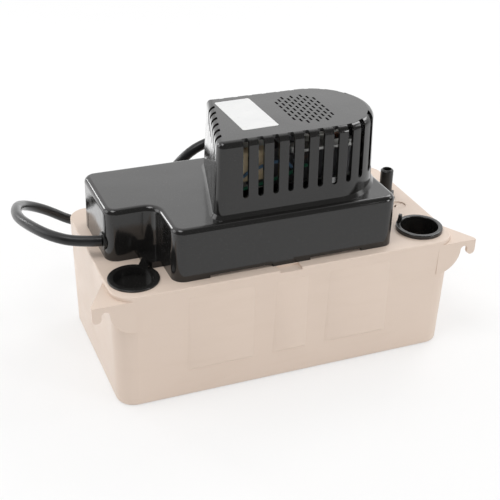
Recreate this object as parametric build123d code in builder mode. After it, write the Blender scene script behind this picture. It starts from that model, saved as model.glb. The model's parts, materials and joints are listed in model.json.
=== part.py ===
from build123d import *
import math
import os

# Tank-type condensate pump: a drafted reservoir with a snap-on lid, a hollow switch cover on the
# lid, and a vented housing over a vertical shaded-pole motor. The motor's shaft runs down inside a
# column to an impeller near the tank's floor. A float works two switches under the cover.
# X runs along the tank, the front faces -Y and Z is up. The origin is the middle of the tank's
# underside. All lengths are in millimetres and all angles in degrees.

os.makedirs("parts", exist_ok=True)

# ---------------------------------------------------------------- driving dimensions
# Reservoir and lid
tank_length = 250.0
tank_width = 131.2
deck_height = 87.2
lid_thickness = 3.0
tank_corner_radius = 14.7
tank_draft = 1.4
tank_wall = 2.5
tank_floor = 2.5
floor_edge_radius = 2.5
lid_edge_radius = 1.0
skirt_depth = 5.0
skirt_wall = 2.0
skirt_gap = 0.5
panel_shift = -1.8
panel_spacing = 50.6
wide_panel = 46.0
narrow_panel = 23.0
panel_bottom = 22.0
panel_top = 80.0
panel_depth = 2.4

# Hanging ears at the two front corners
ear_reach = 15.0
ear_thickness = 2.6
ear_plate_run = 29.6
ear_finger_width = 6.2
ear_finger_drop = 11.4
ear_slot_width = 5.6
ear_slot_drop = 3.9
ear_gusset_drop = 23.5

# Inlets at the front ends of the deck
inlet_end_setback = 19.0
inlet_setback = 22.6
inlet_skirt_radius = 15.2
inlet_bore_radius = 13.4
inlet_depth = 11.0
collar_radius = 16.8
collar_height = 2.8
plug_radius = 17.2
plug_flange = 1.2
plug_floor_drop = 5.0
pull_tab_width = 7.0
pull_tab_height = 8.0
pull_tab_thickness = 2.0

# Switch cover
cover_left_setback = 8.5
cover_notch_reach = 23.1
cover_right = 77.5
cover_front_setback = 7.4
cover_notch_depth = 25.0
cover_back_setback = 19.8
cover_height = 37.7
cover_wall = 2.5
cover_corner_radius = 8.5
cover_edge_radius = 4.0
cover_lug_height = 4.5
scallop_height = 2.0
scallop_left_x = -36.2
scallop_left_length = 44.5
scallop_right_x = 32.7
scallop_right_length = 38.5
vent_slit_width = 1.2

# Motor housing
housing_height = 52.1
housing_end_x = 35.0
housing_end_radius = 40.0
housing_wall = 2.3
housing_draft = 2.0
housing_edge_radius = 4.6
housing_left_x = -52.0
housing_left_y = -44.0
housing_left_slope = 0.271
housing_front_corner = 6.5
housing_back_corner = 11.0
flare_reach = 2.0
flare_height = 2.5
slot_count = 10
slot_width = 4.0
slot_pitch = 10.57
slot_first_x = -31.8
slot_sill = 12.6
slot_inset = 6.0
side_slot_count = 6
side_slot_pitch = 9.4
side_slot_first_y = -36.6
side_slot_sill = 39.1
side_slot_width = 3.6
perforation_x = 25.2
perforation_y = -10.6
perforation_width = 1.5
perforation_length = 4.6
perforation_pitch_x = 3.5
perforation_pitch_y = 7.2
perforation_columns = 9
perforation_rows = 7
perforation_field = 24.0

# Motor
motor_x = 28.0
motor_y = -11.0
shaft_radius = 3.175
stack_height = 20.0
stack_lift = 13.0
stack_left = -24.0
stack_right = 53.0
stack_half_width = 27.0
leg_width = 13.0
yoke_width = 12.0
window_right = 4.0
rotor_radius = 15.0
air_gap = 0.35
pole_slit = 3.0
coil_build = 7.5
flange_thickness = 1.0
bolt_radius = 2.0
bolt_spread_x = 20.0
bolt_spread_y = 22.0
bracket_sheet = 2.0
bracket_hat = 3.5
bearing_radius = 5.5
bearing_length = 6.0
running_clearance = 0.04
fan_radius = 24.0
fan_blades = 9

# Pump end
column_top_radius = 17.0
column_bottom_radius = 13.0
column_bore_radius = 9.0
column_flange = 4.0
volute_top = 22.0
volute_bottom = 6.0
volute_wall = 2.2
volute_inner_radius = 23.0
volute_growth = 6.0
volute_plate = 2.5
suction_radius = 8.0
impeller_radius = 20.0
impeller_bottom = 9.0
impeller_height = 8.0
impeller_vanes = 6
impeller_hub_radius = 6.5
impeller_disc = 2.0
outlet_y = 10.0
outlet_radius = 4.75
hose_wall = 1.9
hose_bend_radius = 20.0

# Check valve and discharge
valve_end_setback = 18.5
valve_body_radius = 9.0
valve_body_drop = 27.2
valve_stub = 12.0
valve_thread_radius = 7.4
ball_radius = 4.4
ball_lift = 4.0
barb_outer_radius = 4.76
barb_bore_radius = 3.2
barb_height = 23.3
hex_across_flats = 13.0
hex_height = 4.3

# Float and switches
pivot_inset = 28.5
pivot_rise = 0.8
mechanism_y = 12.0
cheek_gap = 25.0
cheek_sheet = 1.5
float_length = 46.0
float_width = 56.0
float_height = 22.0
arm_reach_x = 36.0
arm_reach_z = -56.0
arm_width = 6.0
arm_thickness = 4.0
horn_radius = 9.0
horn_angle = 20.0
horn_tip_radius = 2.0
switch_length = 28.0
switch_height = 16.0
switch_thickness = 10.0
switch_inset = 8.5
switch_rise = 12.4
lever_pivot_inset = 2.0
lever_drop = 1.8
lever_length = 26.5
lever_sheet = 0.6
lever_width = 5.0
lever_barrel = 1.2
run_lever_angle = -7.6
safety_lever_angle = -1.2

# Cord
cord_radius = 3.75
plug_body_length = 30.0
plug_tail_length = 24.0
plug_width = 24.0
blade_spacing = 12.7
blade_thickness = 1.5
blade_width = 6.3
blade_length = 15.9
ground_pin_radius = 2.4

# Clearances
seat_gap = 0.3
hole_gap = 0.25

# ---------------------------------------------------------------- derived levels and places
inlet_x = tank_length / 2 - inlet_end_setback
inlet_y = inlet_setback - tank_width / 2
cover_left = cover_left_setback - tank_length / 2
cover_notch_x = cover_notch_reach - inlet_x
cover_front = cover_front_setback - tank_width / 2
cover_notch_y = inlet_y + cover_notch_depth
cover_back = tank_width / 2 - cover_back_setback
valve_x = tank_length / 2 - valve_end_setback
valve_body_bottom = deck_height - valve_body_drop
pivot_x = cover_left + pivot_inset
pivot_z = deck_height + pivot_rise
switch_left = cover_left + switch_inset
switch_bottom = deck_height + switch_rise
rim_height = deck_height - lid_thickness
cover_top = deck_height + cover_height
cover_ceiling = cover_top - cover_wall
housing_top = cover_top + housing_height
slot_bottom = cover_top + slot_sill
side_slot_bottom = cover_top + side_slot_sill
stack_bottom = cover_top + stack_lift
stack_top = stack_bottom + stack_height
lean = math.tan(math.radians(tank_draft))
bolt_places = [
    (motor_x + i * bolt_spread_x, motor_y + j * bolt_spread_y) for i in (-1, 1) for j in (-1, 1)
]


def front_wall(z):
    """Distance of the tank's outer front or back wall from its middle plane, at height z."""
    return tank_width / 2 - (rim_height - z) * lean


def finish(part, name):
    """Label a finished piece and write its STEP file."""
    part.label = name
    export_step(part, f"parts/{name}.step")
    print(f"{name:24s} solids {len(part.solids())}  volume {part.volume:10.1f}")


# ---------------------------------------------------------------- tank
panels = [
    (panel_shift - panel_spacing, wide_panel),
    (panel_shift, narrow_panel),
    (panel_shift + panel_spacing, wide_panel),
]


def panel_wedge(side, x, width, inset):
    """A wedge that is thin at the panel's top and deepest at its ledge, moved in by inset."""
    top = front_wall(panel_top) - inset
    low = front_wall(panel_bottom) - inset - panel_depth
    outer = front_wall(panel_top) + (1.0 if inset == 0 else -0.9 * tank_wall)
    base = panel_bottom - inset
    with BuildPart() as wedge:
        with BuildSketch(Plane.YZ.offset(x - width / 2 - inset)):
            with BuildLine():
                Polyline((side * outer, panel_top), (side * top, panel_top), (side * low, base),
                         (side * outer, base), close=True)
            make_face()
        extrude(amount=width + 2 * inset)
    return wedge.part


with BuildPart() as tank:
    with BuildSketch():
        RectangleRounded(tank_length - 2 * rim_height * lean, tank_width - 2 * rim_height * lean,
                         tank_corner_radius - rim_height * lean)
    extrude(amount=rim_height, taper=-tank_draft)
    fillet(tank.edges().group_by(Axis.Z)[0], floor_edge_radius)
    for side in (-1, 1):
        root = tank_length / 2 - tank_corner_radius
        tip = tank_length / 2 + ear_reach
        finger = tip - ear_finger_width
        slot = finger - ear_slot_width
        half_finger = ear_finger_width / 2
        half_slot = ear_slot_width / 2
        finger_low = rim_height - ear_finger_drop + half_finger
        slot_high = rim_height - ear_slot_drop - half_slot
        gusset_low = rim_height - ear_gusset_drop
        # the flange lies in the plane of the front wall: finger, open slot and curved gusset
        with BuildSketch(Plane.XZ.offset(tank_width / 2)):
            with BuildLine():
                Line((side * root, rim_height), (side * tip, rim_height))
                Line((side * tip, rim_height), (side * tip, finger_low))
                ThreePointArc((side * tip, finger_low),
                              (side * (tip - half_finger), finger_low - half_finger),
                              (side * finger, finger_low))
                Line((side * finger, finger_low), (side * finger, slot_high))
                ThreePointArc((side * finger, slot_high),
                              (side * (finger - half_slot), slot_high + half_slot),
                              (side * slot, slot_high))
                Line((side * slot, slot_high), (side * slot, slot_high - 1.5))
                ThreePointArc((side * slot, slot_high - 1.5),
                              (side * (slot - 0.3 * tank_corner_radius), gusset_low + 5.8),
                              (side * (root + 0.2 * tank_corner_radius), gusset_low))
                Polyline((side * (root + 0.2 * tank_corner_radius), gusset_low),
                         (side * root, gusset_low), (side * root, rim_height))
            make_face()
        extrude(amount=-ear_thickness)
        # the top plate tapers back to the end wall
        with BuildSketch(Plane.XY.offset(rim_height)):
            with BuildLine():
                Polyline((side * tip, -tank_width / 2), (side * tip, -tank_width / 2 + ear_thickness),
                         (side * tank_length / 2, -tank_width / 2 + ear_plate_run),
                         (side * root, -tank_width / 2 + ear_plate_run),
                         (side * root, -tank_width / 2), close=True)
            make_face()
        extrude(amount=-ear_thickness)
    # cavity, with the same draft as the walls
    inner_lean = (rim_height - tank_floor) * lean
    with BuildSketch(Plane.XY.offset(tank_floor)):
        RectangleRounded(tank_length - 2 * tank_wall - 2 * inner_lean,
                         tank_width - 2 * tank_wall - 2 * inner_lean,
                         tank_corner_radius - tank_wall - inner_lean)
    extrude(amount=rim_height - tank_floor, taper=-tank_draft, mode=Mode.SUBTRACT)
    for side in (-1, 1):
        for x, width in panels:
            add(panel_wedge(side, x, width, tank_wall))
    for side in (-1, 1):
        for x, width in panels:
            add(panel_wedge(side, x, width, 0), mode=Mode.SUBTRACT)
finish(tank.part, "tank")

# ---------------------------------------------------------------- plans shared by several pieces
cover_main_x = (cover_notch_x + cover_right) / 2
cover_left_x = (cover_left + cover_notch_x) / 2
lid_margin = 14.0
boss_inset = 7.5
boss_radius = 4.0
screw_radius = 1.6

# Plan of the switch cover: a wide block behind the inlets and a narrower one at its left
with BuildSketch() as cover_plan:
    with Locations((cover_main_x, (cover_front + cover_back) / 2)):
        Rectangle(cover_right - cover_notch_x, cover_back - cover_front)
    with Locations((cover_left_x + cover_corner_radius, (cover_notch_y + cover_back) / 2)):
        Rectangle(cover_notch_x - cover_left + 2 * cover_corner_radius, cover_back - cover_notch_y)
    fillet(cover_plan.vertices(), cover_corner_radius)

# Plan of the motor housing: a straight front and back, a half-round end and a slanted left wall
housing_front = motor_y - housing_end_radius
housing_back = motor_y + housing_end_radius
slant_front = housing_left_x + (housing_front - housing_left_y) * housing_left_slope
slant_back = housing_left_x + (housing_back - housing_left_y) * housing_left_slope
with BuildSketch() as housing_plan:
    with BuildLine() as housing_outline:
        Line((slant_front, housing_front), (housing_end_x, housing_front))
        ThreePointArc((housing_end_x, housing_front),
                      (housing_end_x + housing_end_radius, motor_y),
                      (housing_end_x, housing_back))
        Line((housing_end_x, housing_back), (slant_back, housing_back))
        Line((slant_back, housing_back), (slant_front, housing_front))
    make_face()
    corners = housing_plan.vertices().sort_by(Axis.X)[:2].sort_by(Axis.Y)
    fillet(corners[0], housing_front_corner)
    fillet(housing_plan.vertices().sort_by(Axis.X)[0:2].sort_by(Axis.Y)[-1], housing_back_corner)

cover_bosses = [
    (cover_notch_x + boss_inset, cover_front + boss_inset),
    (cover_right - boss_inset, cover_front + boss_inset),
    (cover_right - boss_inset, cover_back - boss_inset),
    (cover_left + boss_inset, cover_back - boss_inset),
]
housing_boss_radius = 3.2
housing_boss_height = 11.0
housing_bosses = [
    (housing_left_x + 6.5, housing_front + 5.6),
    (housing_end_x + housing_end_radius - 5.4, motor_y),
    (slant_back + 4.6, housing_back - 5.6),
]


# ---------------------------------------------------------------- lid
lid_slot_x = 107.4
lid_slot_y = -5.0
lid_slot_length = 5.0
lid_dimple_radius = 5.5
lid_dimple_depth = 0.8
latch_x = -3.6
latch_width = 16.0
latch_depth = 1.6

with BuildPart() as tank_lid:
    with BuildSketch(Plane.XY.offset(rim_height)):
        RectangleRounded(tank_length, tank_width, tank_corner_radius)
    extrude(amount=lid_thickness)
    fillet(tank_lid.edges().group_by(Axis.Z)[-1], lid_edge_radius)
    # locating skirt inside the tank's walls
    skirt_inset = tank_wall + skirt_gap
    with BuildSketch(Plane.XY.offset(rim_height)):
        RectangleRounded(tank_length - 2 * skirt_inset, tank_width - 2 * skirt_inset,
                         tank_corner_radius - skirt_inset)
        RectangleRounded(tank_length - 2 * skirt_inset - 2 * skirt_wall,
                         tank_width - 2 * skirt_inset - 2 * skirt_wall,
                         tank_corner_radius - skirt_inset - skirt_wall, mode=Mode.SUBTRACT)
    extrude(amount=-skirt_depth)
    # opening under the cover for the pump column and the float arm
    with BuildSketch(Plane.XY.offset(rim_height)):
        add(cover_plan.sketch)
        offset(amount=-lid_margin, kind=Kind.INTERSECTION)
    extrude(amount=lid_thickness, mode=Mode.SUBTRACT)
    # inlet holes, discharge hole and screw holes
    with Locations(*[(side * inlet_x, inlet_y, deck_height) for side in (-1, 1)]):
        Hole(inlet_skirt_radius + seat_gap, depth=lid_thickness + skirt_depth)
    with Locations((valve_x, outlet_y, deck_height)):
        Hole(valve_thread_radius + hole_gap, depth=lid_thickness)
    with Locations(*[(x, y, deck_height) for x, y in cover_bosses]):
        Hole(screw_radius + hole_gap, depth=lid_thickness)
    # vent slot in a shallow dimple, and the finger recess in the front edge
    with Locations((lid_slot_x + lid_dimple_radius / 2, lid_slot_y, deck_height)):
        Hole(lid_dimple_radius, depth=lid_dimple_depth)
    with BuildSketch(Plane.XY.offset(deck_height)):
        with Locations((lid_slot_x, lid_slot_y)):
            SlotOverall(lid_slot_length, vent_slit_width, rotation=50)
    extrude(amount=-lid_thickness, mode=Mode.SUBTRACT)
    with BuildSketch(Plane.XY.offset(deck_height)):
        with Locations((latch_x, (cover_front - tank_width / 2) / 2)):
            Rectangle(latch_width, tank_width / 2 + cover_front)
    extrude(amount=-latch_depth, mode=Mode.SUBTRACT)
finish(tank_lid.part, "tank_lid")


# ---------------------------------------------------------------- inlet fittings
def pull_tab(side):
    """Upright finger tab on the side of an inlet fitting that faces the cover."""
    turn = 135 if side > 0 else 45
    reach = inlet_skirt_radius + 0.4
    place = Plane((side * inlet_x, inlet_y, deck_height)).rotated((0, 0, turn))
    with BuildPart() as tab:
        with BuildSketch(Plane(place.from_local_coords((reach, 0, 0)),
                               x_dir=place.y_dir, z_dir=place.x_dir)):
            with BuildLine():
                Polyline((-pull_tab_width / 2, 0), (-pull_tab_width / 2, 0.4 * pull_tab_height),
                         (-0.18 * pull_tab_width, pull_tab_height),
                         (0.18 * pull_tab_width, pull_tab_height),
                         (pull_tab_width / 2, 0.4 * pull_tab_height), (pull_tab_width / 2, 0),
                         close=True)
            make_face()
        extrude(amount=-pull_tab_thickness)
    return tab.part


with BuildPart() as inlet_collar:
    with BuildSketch(Plane.XY.offset(deck_height)) as collar_ring:
        with Locations((inlet_x, inlet_y)):
            Circle(collar_radius)
            Circle(inlet_bore_radius, mode=Mode.SUBTRACT)
    extrude(amount=collar_height)
    fillet(inlet_collar.edges().group_by(Axis.Z)[-1], 0.8)
    with BuildSketch(Plane.XY.offset(deck_height)):
        with Locations((inlet_x, inlet_y)):
            Circle(inlet_skirt_radius)
            Circle(inlet_bore_radius, mode=Mode.SUBTRACT)
    extrude(amount=-inlet_depth)
    add(pull_tab(1))
finish(inlet_collar.part, "inlet_collar")

with BuildPart() as inlet_plug:
    with BuildSketch(Plane.XY.offset(deck_height)):
        with Locations((-inlet_x, inlet_y)):
            Circle(plug_radius)
    extrude(amount=plug_flange)
    fillet(inlet_plug.edges().group_by(Axis.Z)[-1], 0.5)
    with BuildSketch(Plane.XY.offset(deck_height)):
        with Locations((-inlet_x, inlet_y)):
            Circle(inlet_skirt_radius)
    extrude(amount=-inlet_depth)
    with BuildSketch(Plane.XY.offset(deck_height + plug_flange)):
        with Locations((-inlet_x, inlet_y)):
            Circle(inlet_bore_radius)
    extrude(amount=-plug_flange - plug_floor_drop, mode=Mode.SUBTRACT)
    with BuildSketch(Plane.XY.offset(deck_height - inlet_depth)):
        with Locations((-inlet_x, inlet_y)):
            Circle(inlet_bore_radius)
    extrude(amount=inlet_depth - plug_floor_drop - tank_wall, mode=Mode.SUBTRACT)
    add(pull_tab(-1))
finish(inlet_plug.part, "inlet_plug")

# ---------------------------------------------------------------- switch cover
shaft_hole_radius = 8.0
wire_hole_x = -37.0
wire_hole_y = -33.0
wire_hole_radius = 5.0
exit_y = -8.5
exit_z = 99.5
bushing_radius = 5.2
bushing_length = 8.0
bushing_flange = 1.0
bushing_flange_radius = 6.2

with BuildPart() as switch_cover:
    with BuildSketch(Plane.XY.offset(deck_height)):
        add(cover_plan.sketch)
    extrude(amount=cover_height)
    fillet(switch_cover.edges().group_by(Axis.Z)[-1], cover_edge_radius)
    with BuildSketch(Plane.XY.offset(deck_height)):
        add(cover_plan.sketch)
        offset(amount=-cover_wall)
    extrude(amount=cover_height - cover_wall, mode=Mode.SUBTRACT)
    # screw bosses in the corners
    with BuildSketch(Plane.XY.offset(deck_height)):
        with Locations(*cover_bosses):
            Circle(boss_radius)
    extrude(amount=cover_height - cover_wall)
    with BuildSketch(Plane.XY.offset(deck_height)):
        with Locations(*cover_bosses):
            Circle(screw_radius)
    extrude(amount=0.5 * cover_height, mode=Mode.SUBTRACT)
    # lug in the notch, kept round the plug's flange
    with BuildSketch(Plane.XY.offset(deck_height)):
        with Locations((cover_notch_x - 4.0, cover_notch_y - 7.5)):
            Rectangle(16.0, 17.0)
        with Locations((-inlet_x, inlet_y)):
            Circle(plug_radius + 2 * seat_gap, mode=Mode.SUBTRACT)
        add(cover_plan.sketch, mode=Mode.SUBTRACT)
    extrude(amount=cover_lug_height)
    # holes in the top for the shaft, the motor's bolts, the wires and the housing's screws
    with Locations((motor_x, motor_y, cover_top)):
        Hole(shaft_hole_radius, depth=2 * cover_wall)
    with Locations(*[(x, y, cover_top) for x, y in bolt_places]):
        Hole(bolt_radius + hole_gap, depth=2 * cover_wall)
    with Locations((wire_hole_x, wire_hole_y, cover_top)):
        Hole(wire_hole_radius, depth=2 * cover_wall)
    with Locations(*[(x, y, cover_top) for x, y in housing_bosses]):
        Hole(screw_radius + hole_gap, depth=2 * cover_wall)
    # two scallops in the front's lower edge, the cord hole and a vent slit in the left end
    with BuildSketch(Plane.XZ.offset(-cover_front)):
        with Locations((scallop_left_x, deck_height)):
            Rectangle(scallop_left_length, 2 * scallop_height)
        with Locations((scallop_right_x, deck_height)):
            Rectangle(scallop_right_length, 2 * scallop_height)
    extrude(amount=-cover_wall, mode=Mode.SUBTRACT)
    with BuildSketch(Plane.YZ.offset(cover_left)):
        with Locations((exit_y, exit_z)):
            Circle(bushing_radius + hole_gap)
        with Locations((cover_back - 13.5, deck_height + 6.5)):
            Rectangle(vent_slit_width, 13.0)
    extrude(amount=bushing_length, mode=Mode.SUBTRACT)
finish(switch_cover.part, "switch_cover")

# ---------------------------------------------------------------- vented motor housing
# perforations over the fan: columns of short slots, every second column half a pitch along,
# kept inside a round field
perforation_places = []
for column in range(perforation_columns):
    x = (column - (perforation_columns - 1) / 2) * perforation_pitch_x
    for row in range(perforation_rows):
        y = (row - (perforation_rows - 1) / 2 + 0.5 * (column % 2)) * perforation_pitch_y
        if math.hypot(x, y) < perforation_field:
            perforation_places.append((perforation_x + x, perforation_y + y))

with BuildPart() as vent_slots:
    # prisms along Y for the front and back slots, kept to a band along the walls
    with BuildSketch(Plane.XZ.offset(-motor_y)):
        for i in range(slot_count):
            length = 2 * (housing_top - slot_bottom)
            with Locations((slot_first_x + i * slot_pitch, slot_bottom + length / 2)):
                SlotOverall(length, slot_width, rotation=90)
    extrude(amount=2 * housing_end_radius)
    with BuildSketch(Plane.XZ.offset(-motor_y)):
        for i in range(1, slot_count):
            length = 2 * (housing_top - slot_bottom)
            with Locations((slot_first_x + i * slot_pitch, slot_bottom + length / 2)):
                SlotOverall(length, slot_width, rotation=90)
    extrude(amount=-2 * housing_end_radius)
    with BuildSketch(Plane.XY.offset(slot_bottom)):
        add(housing_plan.sketch)
        offset(amount=flare_reach)
        with Locations((0, 0)):
            add(offset(housing_plan.sketch, amount=-slot_inset, mode=Mode.PRIVATE),
                mode=Mode.SUBTRACT)
    extrude(amount=2 * housing_height, mode=Mode.INTERSECT)

with BuildPart() as side_slots:
    # short slots along X that wrap over the left wall's top edge
    with BuildSketch(Plane.YZ.offset(slant_front)):
        for i in range(side_slot_count):
            length = 2 * (housing_top - side_slot_bottom)
            with Locations((side_slot_first_y + i * side_slot_pitch, side_slot_bottom + length / 2)):
                SlotOverall(length, side_slot_width, rotation=90)
    extrude(amount=0.5 * housing_height)
    with BuildSketch(Plane.XY.offset(side_slot_bottom)):
        with BuildLine():
            Polyline((slant_front - 5, housing_front), (slant_front + slot_inset, housing_front),
                     (slant_back + slot_inset, housing_back), (slant_back - 5, housing_back),
                     close=True)
        make_face()
    extrude(amount=2 * housing_height, mode=Mode.INTERSECT)

with BuildPart() as motor_housing:
    with BuildSketch(Plane.XY.offset(cover_top)):
        add(housing_plan.sketch)
    extrude(amount=housing_height, taper=housing_draft)
    fillet(motor_housing.edges().group_by(Axis.Z)[-1], housing_edge_radius)
    # flare round the foot
    with BuildSketch(Plane.XY.offset(cover_top)):
        add(housing_plan.sketch)
        offset(amount=flare_reach)
    extrude(amount=flare_height, taper=math.degrees(math.atan(flare_reach / flare_height)))
    # hollow inside
    with BuildSketch(Plane.XY.offset(cover_top)):
        add(offset(housing_plan.sketch, amount=-housing_wall, mode=Mode.PRIVATE))
    extrude(amount=housing_height - housing_wall, taper=housing_draft, mode=Mode.SUBTRACT)
    # screw bosses at the foot
    with BuildSketch(Plane.XY.offset(cover_top)):
        with Locations(*housing_bosses):
            Circle(housing_boss_radius)
    extrude(amount=housing_boss_height)
    with BuildSketch(Plane.XY.offset(cover_top)):
        with Locations(*housing_bosses):
            Circle(screw_radius)
    extrude(amount=0.8 * housing_boss_height, mode=Mode.SUBTRACT)
    add(vent_slots.part, mode=Mode.SUBTRACT)
    add(side_slots.part, mode=Mode.SUBTRACT)
    with BuildSketch(Plane.XY.offset(housing_top)):
        with Locations(*perforation_places):
            Rectangle(perforation_width, perforation_length)
    extrude(amount=-2 * housing_wall, mode=Mode.SUBTRACT)
finish(motor_housing.part, "motor_housing")

# ---------------------------------------------------------------- motor
coil_left = stack_left - coil_build
coil_right = stack_left + leg_width + coil_build
window_back = motor_y + stack_half_width - yoke_width
window_front = motor_y - stack_half_width + yoke_width
coil_front = window_front + seat_gap + flange_thickness
coil_back = window_back - seat_gap - flange_thickness
coil_low = stack_bottom - coil_build
coil_high = stack_top + coil_build

with BuildPart() as stator:
    with BuildSketch(Plane.XY.offset(stack_bottom)):
        with Locations(((stack_left + stack_right) / 2, motor_y)):
            Rectangle(stack_right - stack_left, 2 * stack_half_width)
        chamfer(vertices(), 5.0)
        # the winding window, open to the coil leg on its left
        with Locations(((stack_left + leg_width + window_right) / 2, motor_y)):
            Rectangle(window_right - stack_left - leg_width, window_back - window_front,
                      mode=Mode.SUBTRACT)
        with Locations((motor_x, motor_y)):
            Circle(rotor_radius + air_gap, mode=Mode.SUBTRACT)
            # saturation slits above and below the rotor split the two poles
            Rectangle(pole_slit, 2 * rotor_radius + 12.0, mode=Mode.SUBTRACT)
        with Locations(*bolt_places):
            Circle(bolt_radius + hole_gap, mode=Mode.SUBTRACT)
    extrude(amount=stack_height)
finish(stator.part, "stator_laminations")

with BuildPart() as bobbin:
    with BuildSketch(Plane.XZ.offset(-coil_front)):
        with Locations(((coil_left + coil_right) / 2, (coil_low + coil_high) / 2)):
            RectangleRounded(coil_right - coil_left, coil_high - coil_low, 3.0)
    extrude(amount=flange_thickness)
    with BuildSketch(Plane.XZ.offset(-coil_back)):
        with Locations(((coil_left + coil_right) / 2, (coil_low + coil_high) / 2)):
            RectangleRounded(coil_right - coil_left, coil_high - coil_low, 3.0)
    extrude(amount=-flange_thickness)
    with BuildSketch(Plane.XZ.offset(-coil_front)):
        with Locations((stack_left + leg_width / 2, stack_bottom + stack_height / 2)):
            Rectangle(leg_width + 2 * flange_thickness + 2 * hole_gap,
                      stack_height + 2 * flange_thickness + 2 * hole_gap)
    extrude(amount=-(coil_back - coil_front))
    with BuildSketch(Plane.XZ.offset(-coil_front + flange_thickness)):
        with Locations((stack_left + leg_width / 2, stack_bottom + stack_height / 2)):
            Rectangle(leg_width + 2 * hole_gap, stack_height + 2 * hole_gap)
    extrude(amount=-(coil_back - coil_front + 2 * flange_thickness), mode=Mode.SUBTRACT)
finish(bobbin.part, "coil_bobbin")


def coil_ring(inner_build, outer_build, front, back):
    """Rounded rectangular ring round the coil leg, from one build-up to another."""
    with BuildPart() as ring:
        with BuildSketch(Plane.XZ.offset(-front)):
            with Locations((stack_left + leg_width / 2, stack_bottom + stack_height / 2)):
                RectangleRounded(leg_width + 2 * outer_build, stack_height + 2 * outer_build, 3.0)
                Rectangle(leg_width + 2 * inner_build, stack_height + 2 * inner_build,
                          mode=Mode.SUBTRACT)
        extrude(amount=-(back - front))
    return ring


wrap_thickness = 0.6
winding_build = coil_build - 1.2
winding_base = flange_thickness + hole_gap
winding = coil_ring(winding_base, winding_build, coil_front, coil_back)
finish(winding.part, "coil_winding")

with BuildPart() as coil_wrap:
    with BuildSketch(Plane.XZ.offset(-coil_front)):
        with Locations((stack_left + leg_width / 2, stack_bottom + stack_height / 2)):
            RectangleRounded(leg_width + 2 * (winding_build + wrap_thickness),
                             stack_height + 2 * (winding_build + wrap_thickness), 3.6)
            RectangleRounded(leg_width + 2 * winding_build, stack_height + 2 * winding_build, 3.0,
                             mode=Mode.SUBTRACT)
    extrude(amount=-(coil_back - coil_front))
finish(coil_wrap.part, "coil_wrap")

with BuildPart() as rotor:
    with BuildSketch(Plane.XY.offset(stack_bottom)):
        with Locations((motor_x, motor_y)):
            Circle(rotor_radius)
            Circle(shaft_radius, mode=Mode.SUBTRACT)
    extrude(amount=stack_height)
    # end rings of the cage
    for z, amount in ((stack_top, 1.5), (stack_bottom, -1.5)):
        with BuildSketch(Plane.XY.offset(z)):
            with Locations((motor_x, motor_y)):
                Circle(rotor_radius - 3.5)
                Circle(rotor_radius - 8.0, mode=Mode.SUBTRACT)
        extrude(amount=amount)
finish(rotor.part, "rotor")


def bearing_bracket(up):
    """Bridge across the stack that carries a bearing: two feet and a raised middle."""
    face = stack_top if up > 0 else stack_bottom
    half_span = bolt_spread_y + 4.5
    with BuildPart() as bracket:
        with BuildSketch(Plane.YZ.offset(motor_x - 8.0)):
            with BuildLine():
                Polyline((motor_y - half_span, face), (motor_y - 13.5, face),
                         (motor_y - 10.0, face + up * bracket_hat),
                         (motor_y + 10.0, face + up * bracket_hat), (motor_y + 13.5, face),
                         (motor_y + half_span, face),
                         (motor_y + half_span, face + up * bracket_sheet),
                         (motor_y + 14.6, face + up * bracket_sheet),
                         (motor_y + 11.1, face + up * (bracket_hat + bracket_sheet)),
                         (motor_y - 11.1, face + up * (bracket_hat + bracket_sheet)),
                         (motor_y - 14.6, face + up * bracket_sheet),
                         (motor_y - half_span, face + up * bracket_sheet), close=True)
            make_face()
        extrude(amount=16.0)
        # each foot runs out sideways to its two bolts
        with BuildSketch(Plane.XY.offset(face)):
            for j in (-1, 1):
                with Locations((motor_x, motor_y + j * bolt_spread_y)):
                    SlotOverall(2 * bolt_spread_x + 9.0, 9.0)
            with Locations(*bolt_places):
                Circle(bolt_radius + hole_gap, mode=Mode.SUBTRACT)
        extrude(amount=up * bracket_sheet)
        with BuildSketch(Plane.XY.offset(face)):
            with Locations((motor_x, motor_y)):
                Circle(bearing_radius)
        extrude(amount=up * 2 * bracket_hat, mode=Mode.SUBTRACT)
    return bracket


def sleeve_bearing(up):
    """Flanged sleeve held in its bracket, with a running fit on the shaft."""
    face = stack_top if up > 0 else stack_bottom
    seat = face + up * bracket_hat
    with BuildPart() as bearing:
        with BuildSketch(Plane.XY.offset(seat - up * 1.5)):
            with Locations((motor_x, motor_y)):
                Circle(bearing_radius)
        extrude(amount=up * bearing_length)
        with BuildSketch(Plane.XY.offset(seat)):
            with Locations((motor_x, motor_y)):
                Circle(bearing_radius + 1.5)
        extrude(amount=-up * 1.5)
        with BuildSketch(Plane.XY.offset(face)):
            with Locations((motor_x, motor_y)):
                Circle(shaft_radius + running_clearance)
        extrude(amount=up * 2 * bearing_length, mode=Mode.SUBTRACT)
    return bearing


for up, place in ((1, "upper"), (-1, "lower")):
    finish(bearing_bracket(up).part, f"{place}_bearing_bracket")
    finish(sleeve_bearing(up).part, f"{place}_bearing")

with BuildPart() as shading_rings:
    # copper bands let into each pole face
    for j in (-1, 1):
        with BuildSketch(Plane.XY.offset(stack_top)):
            with Locations((motor_x + j * (rotor_radius + 4.0), motor_y - j * 7.0)):
                Rectangle(3.0, 8.0)
        extrude(amount=1.6)
finish(shading_rings.part, "shading_rings")

# spacers under the stack and the four through-bolts with their nuts
spacer_radius = 3.6
spacer_top = stack_bottom - bracket_sheet
bolt_top = stack_top + bracket_sheet
bolt_nut_height = 3.0
with BuildPart() as motor_spacers:
    with BuildSketch(Plane.XY.offset(cover_top)):
        with Locations(*bolt_places):
            Circle(spacer_radius)
            Circle(bolt_radius + hole_gap, mode=Mode.SUBTRACT)
    extrude(amount=spacer_top - cover_top)
finish(motor_spacers.part, "motor_spacers")

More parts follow.
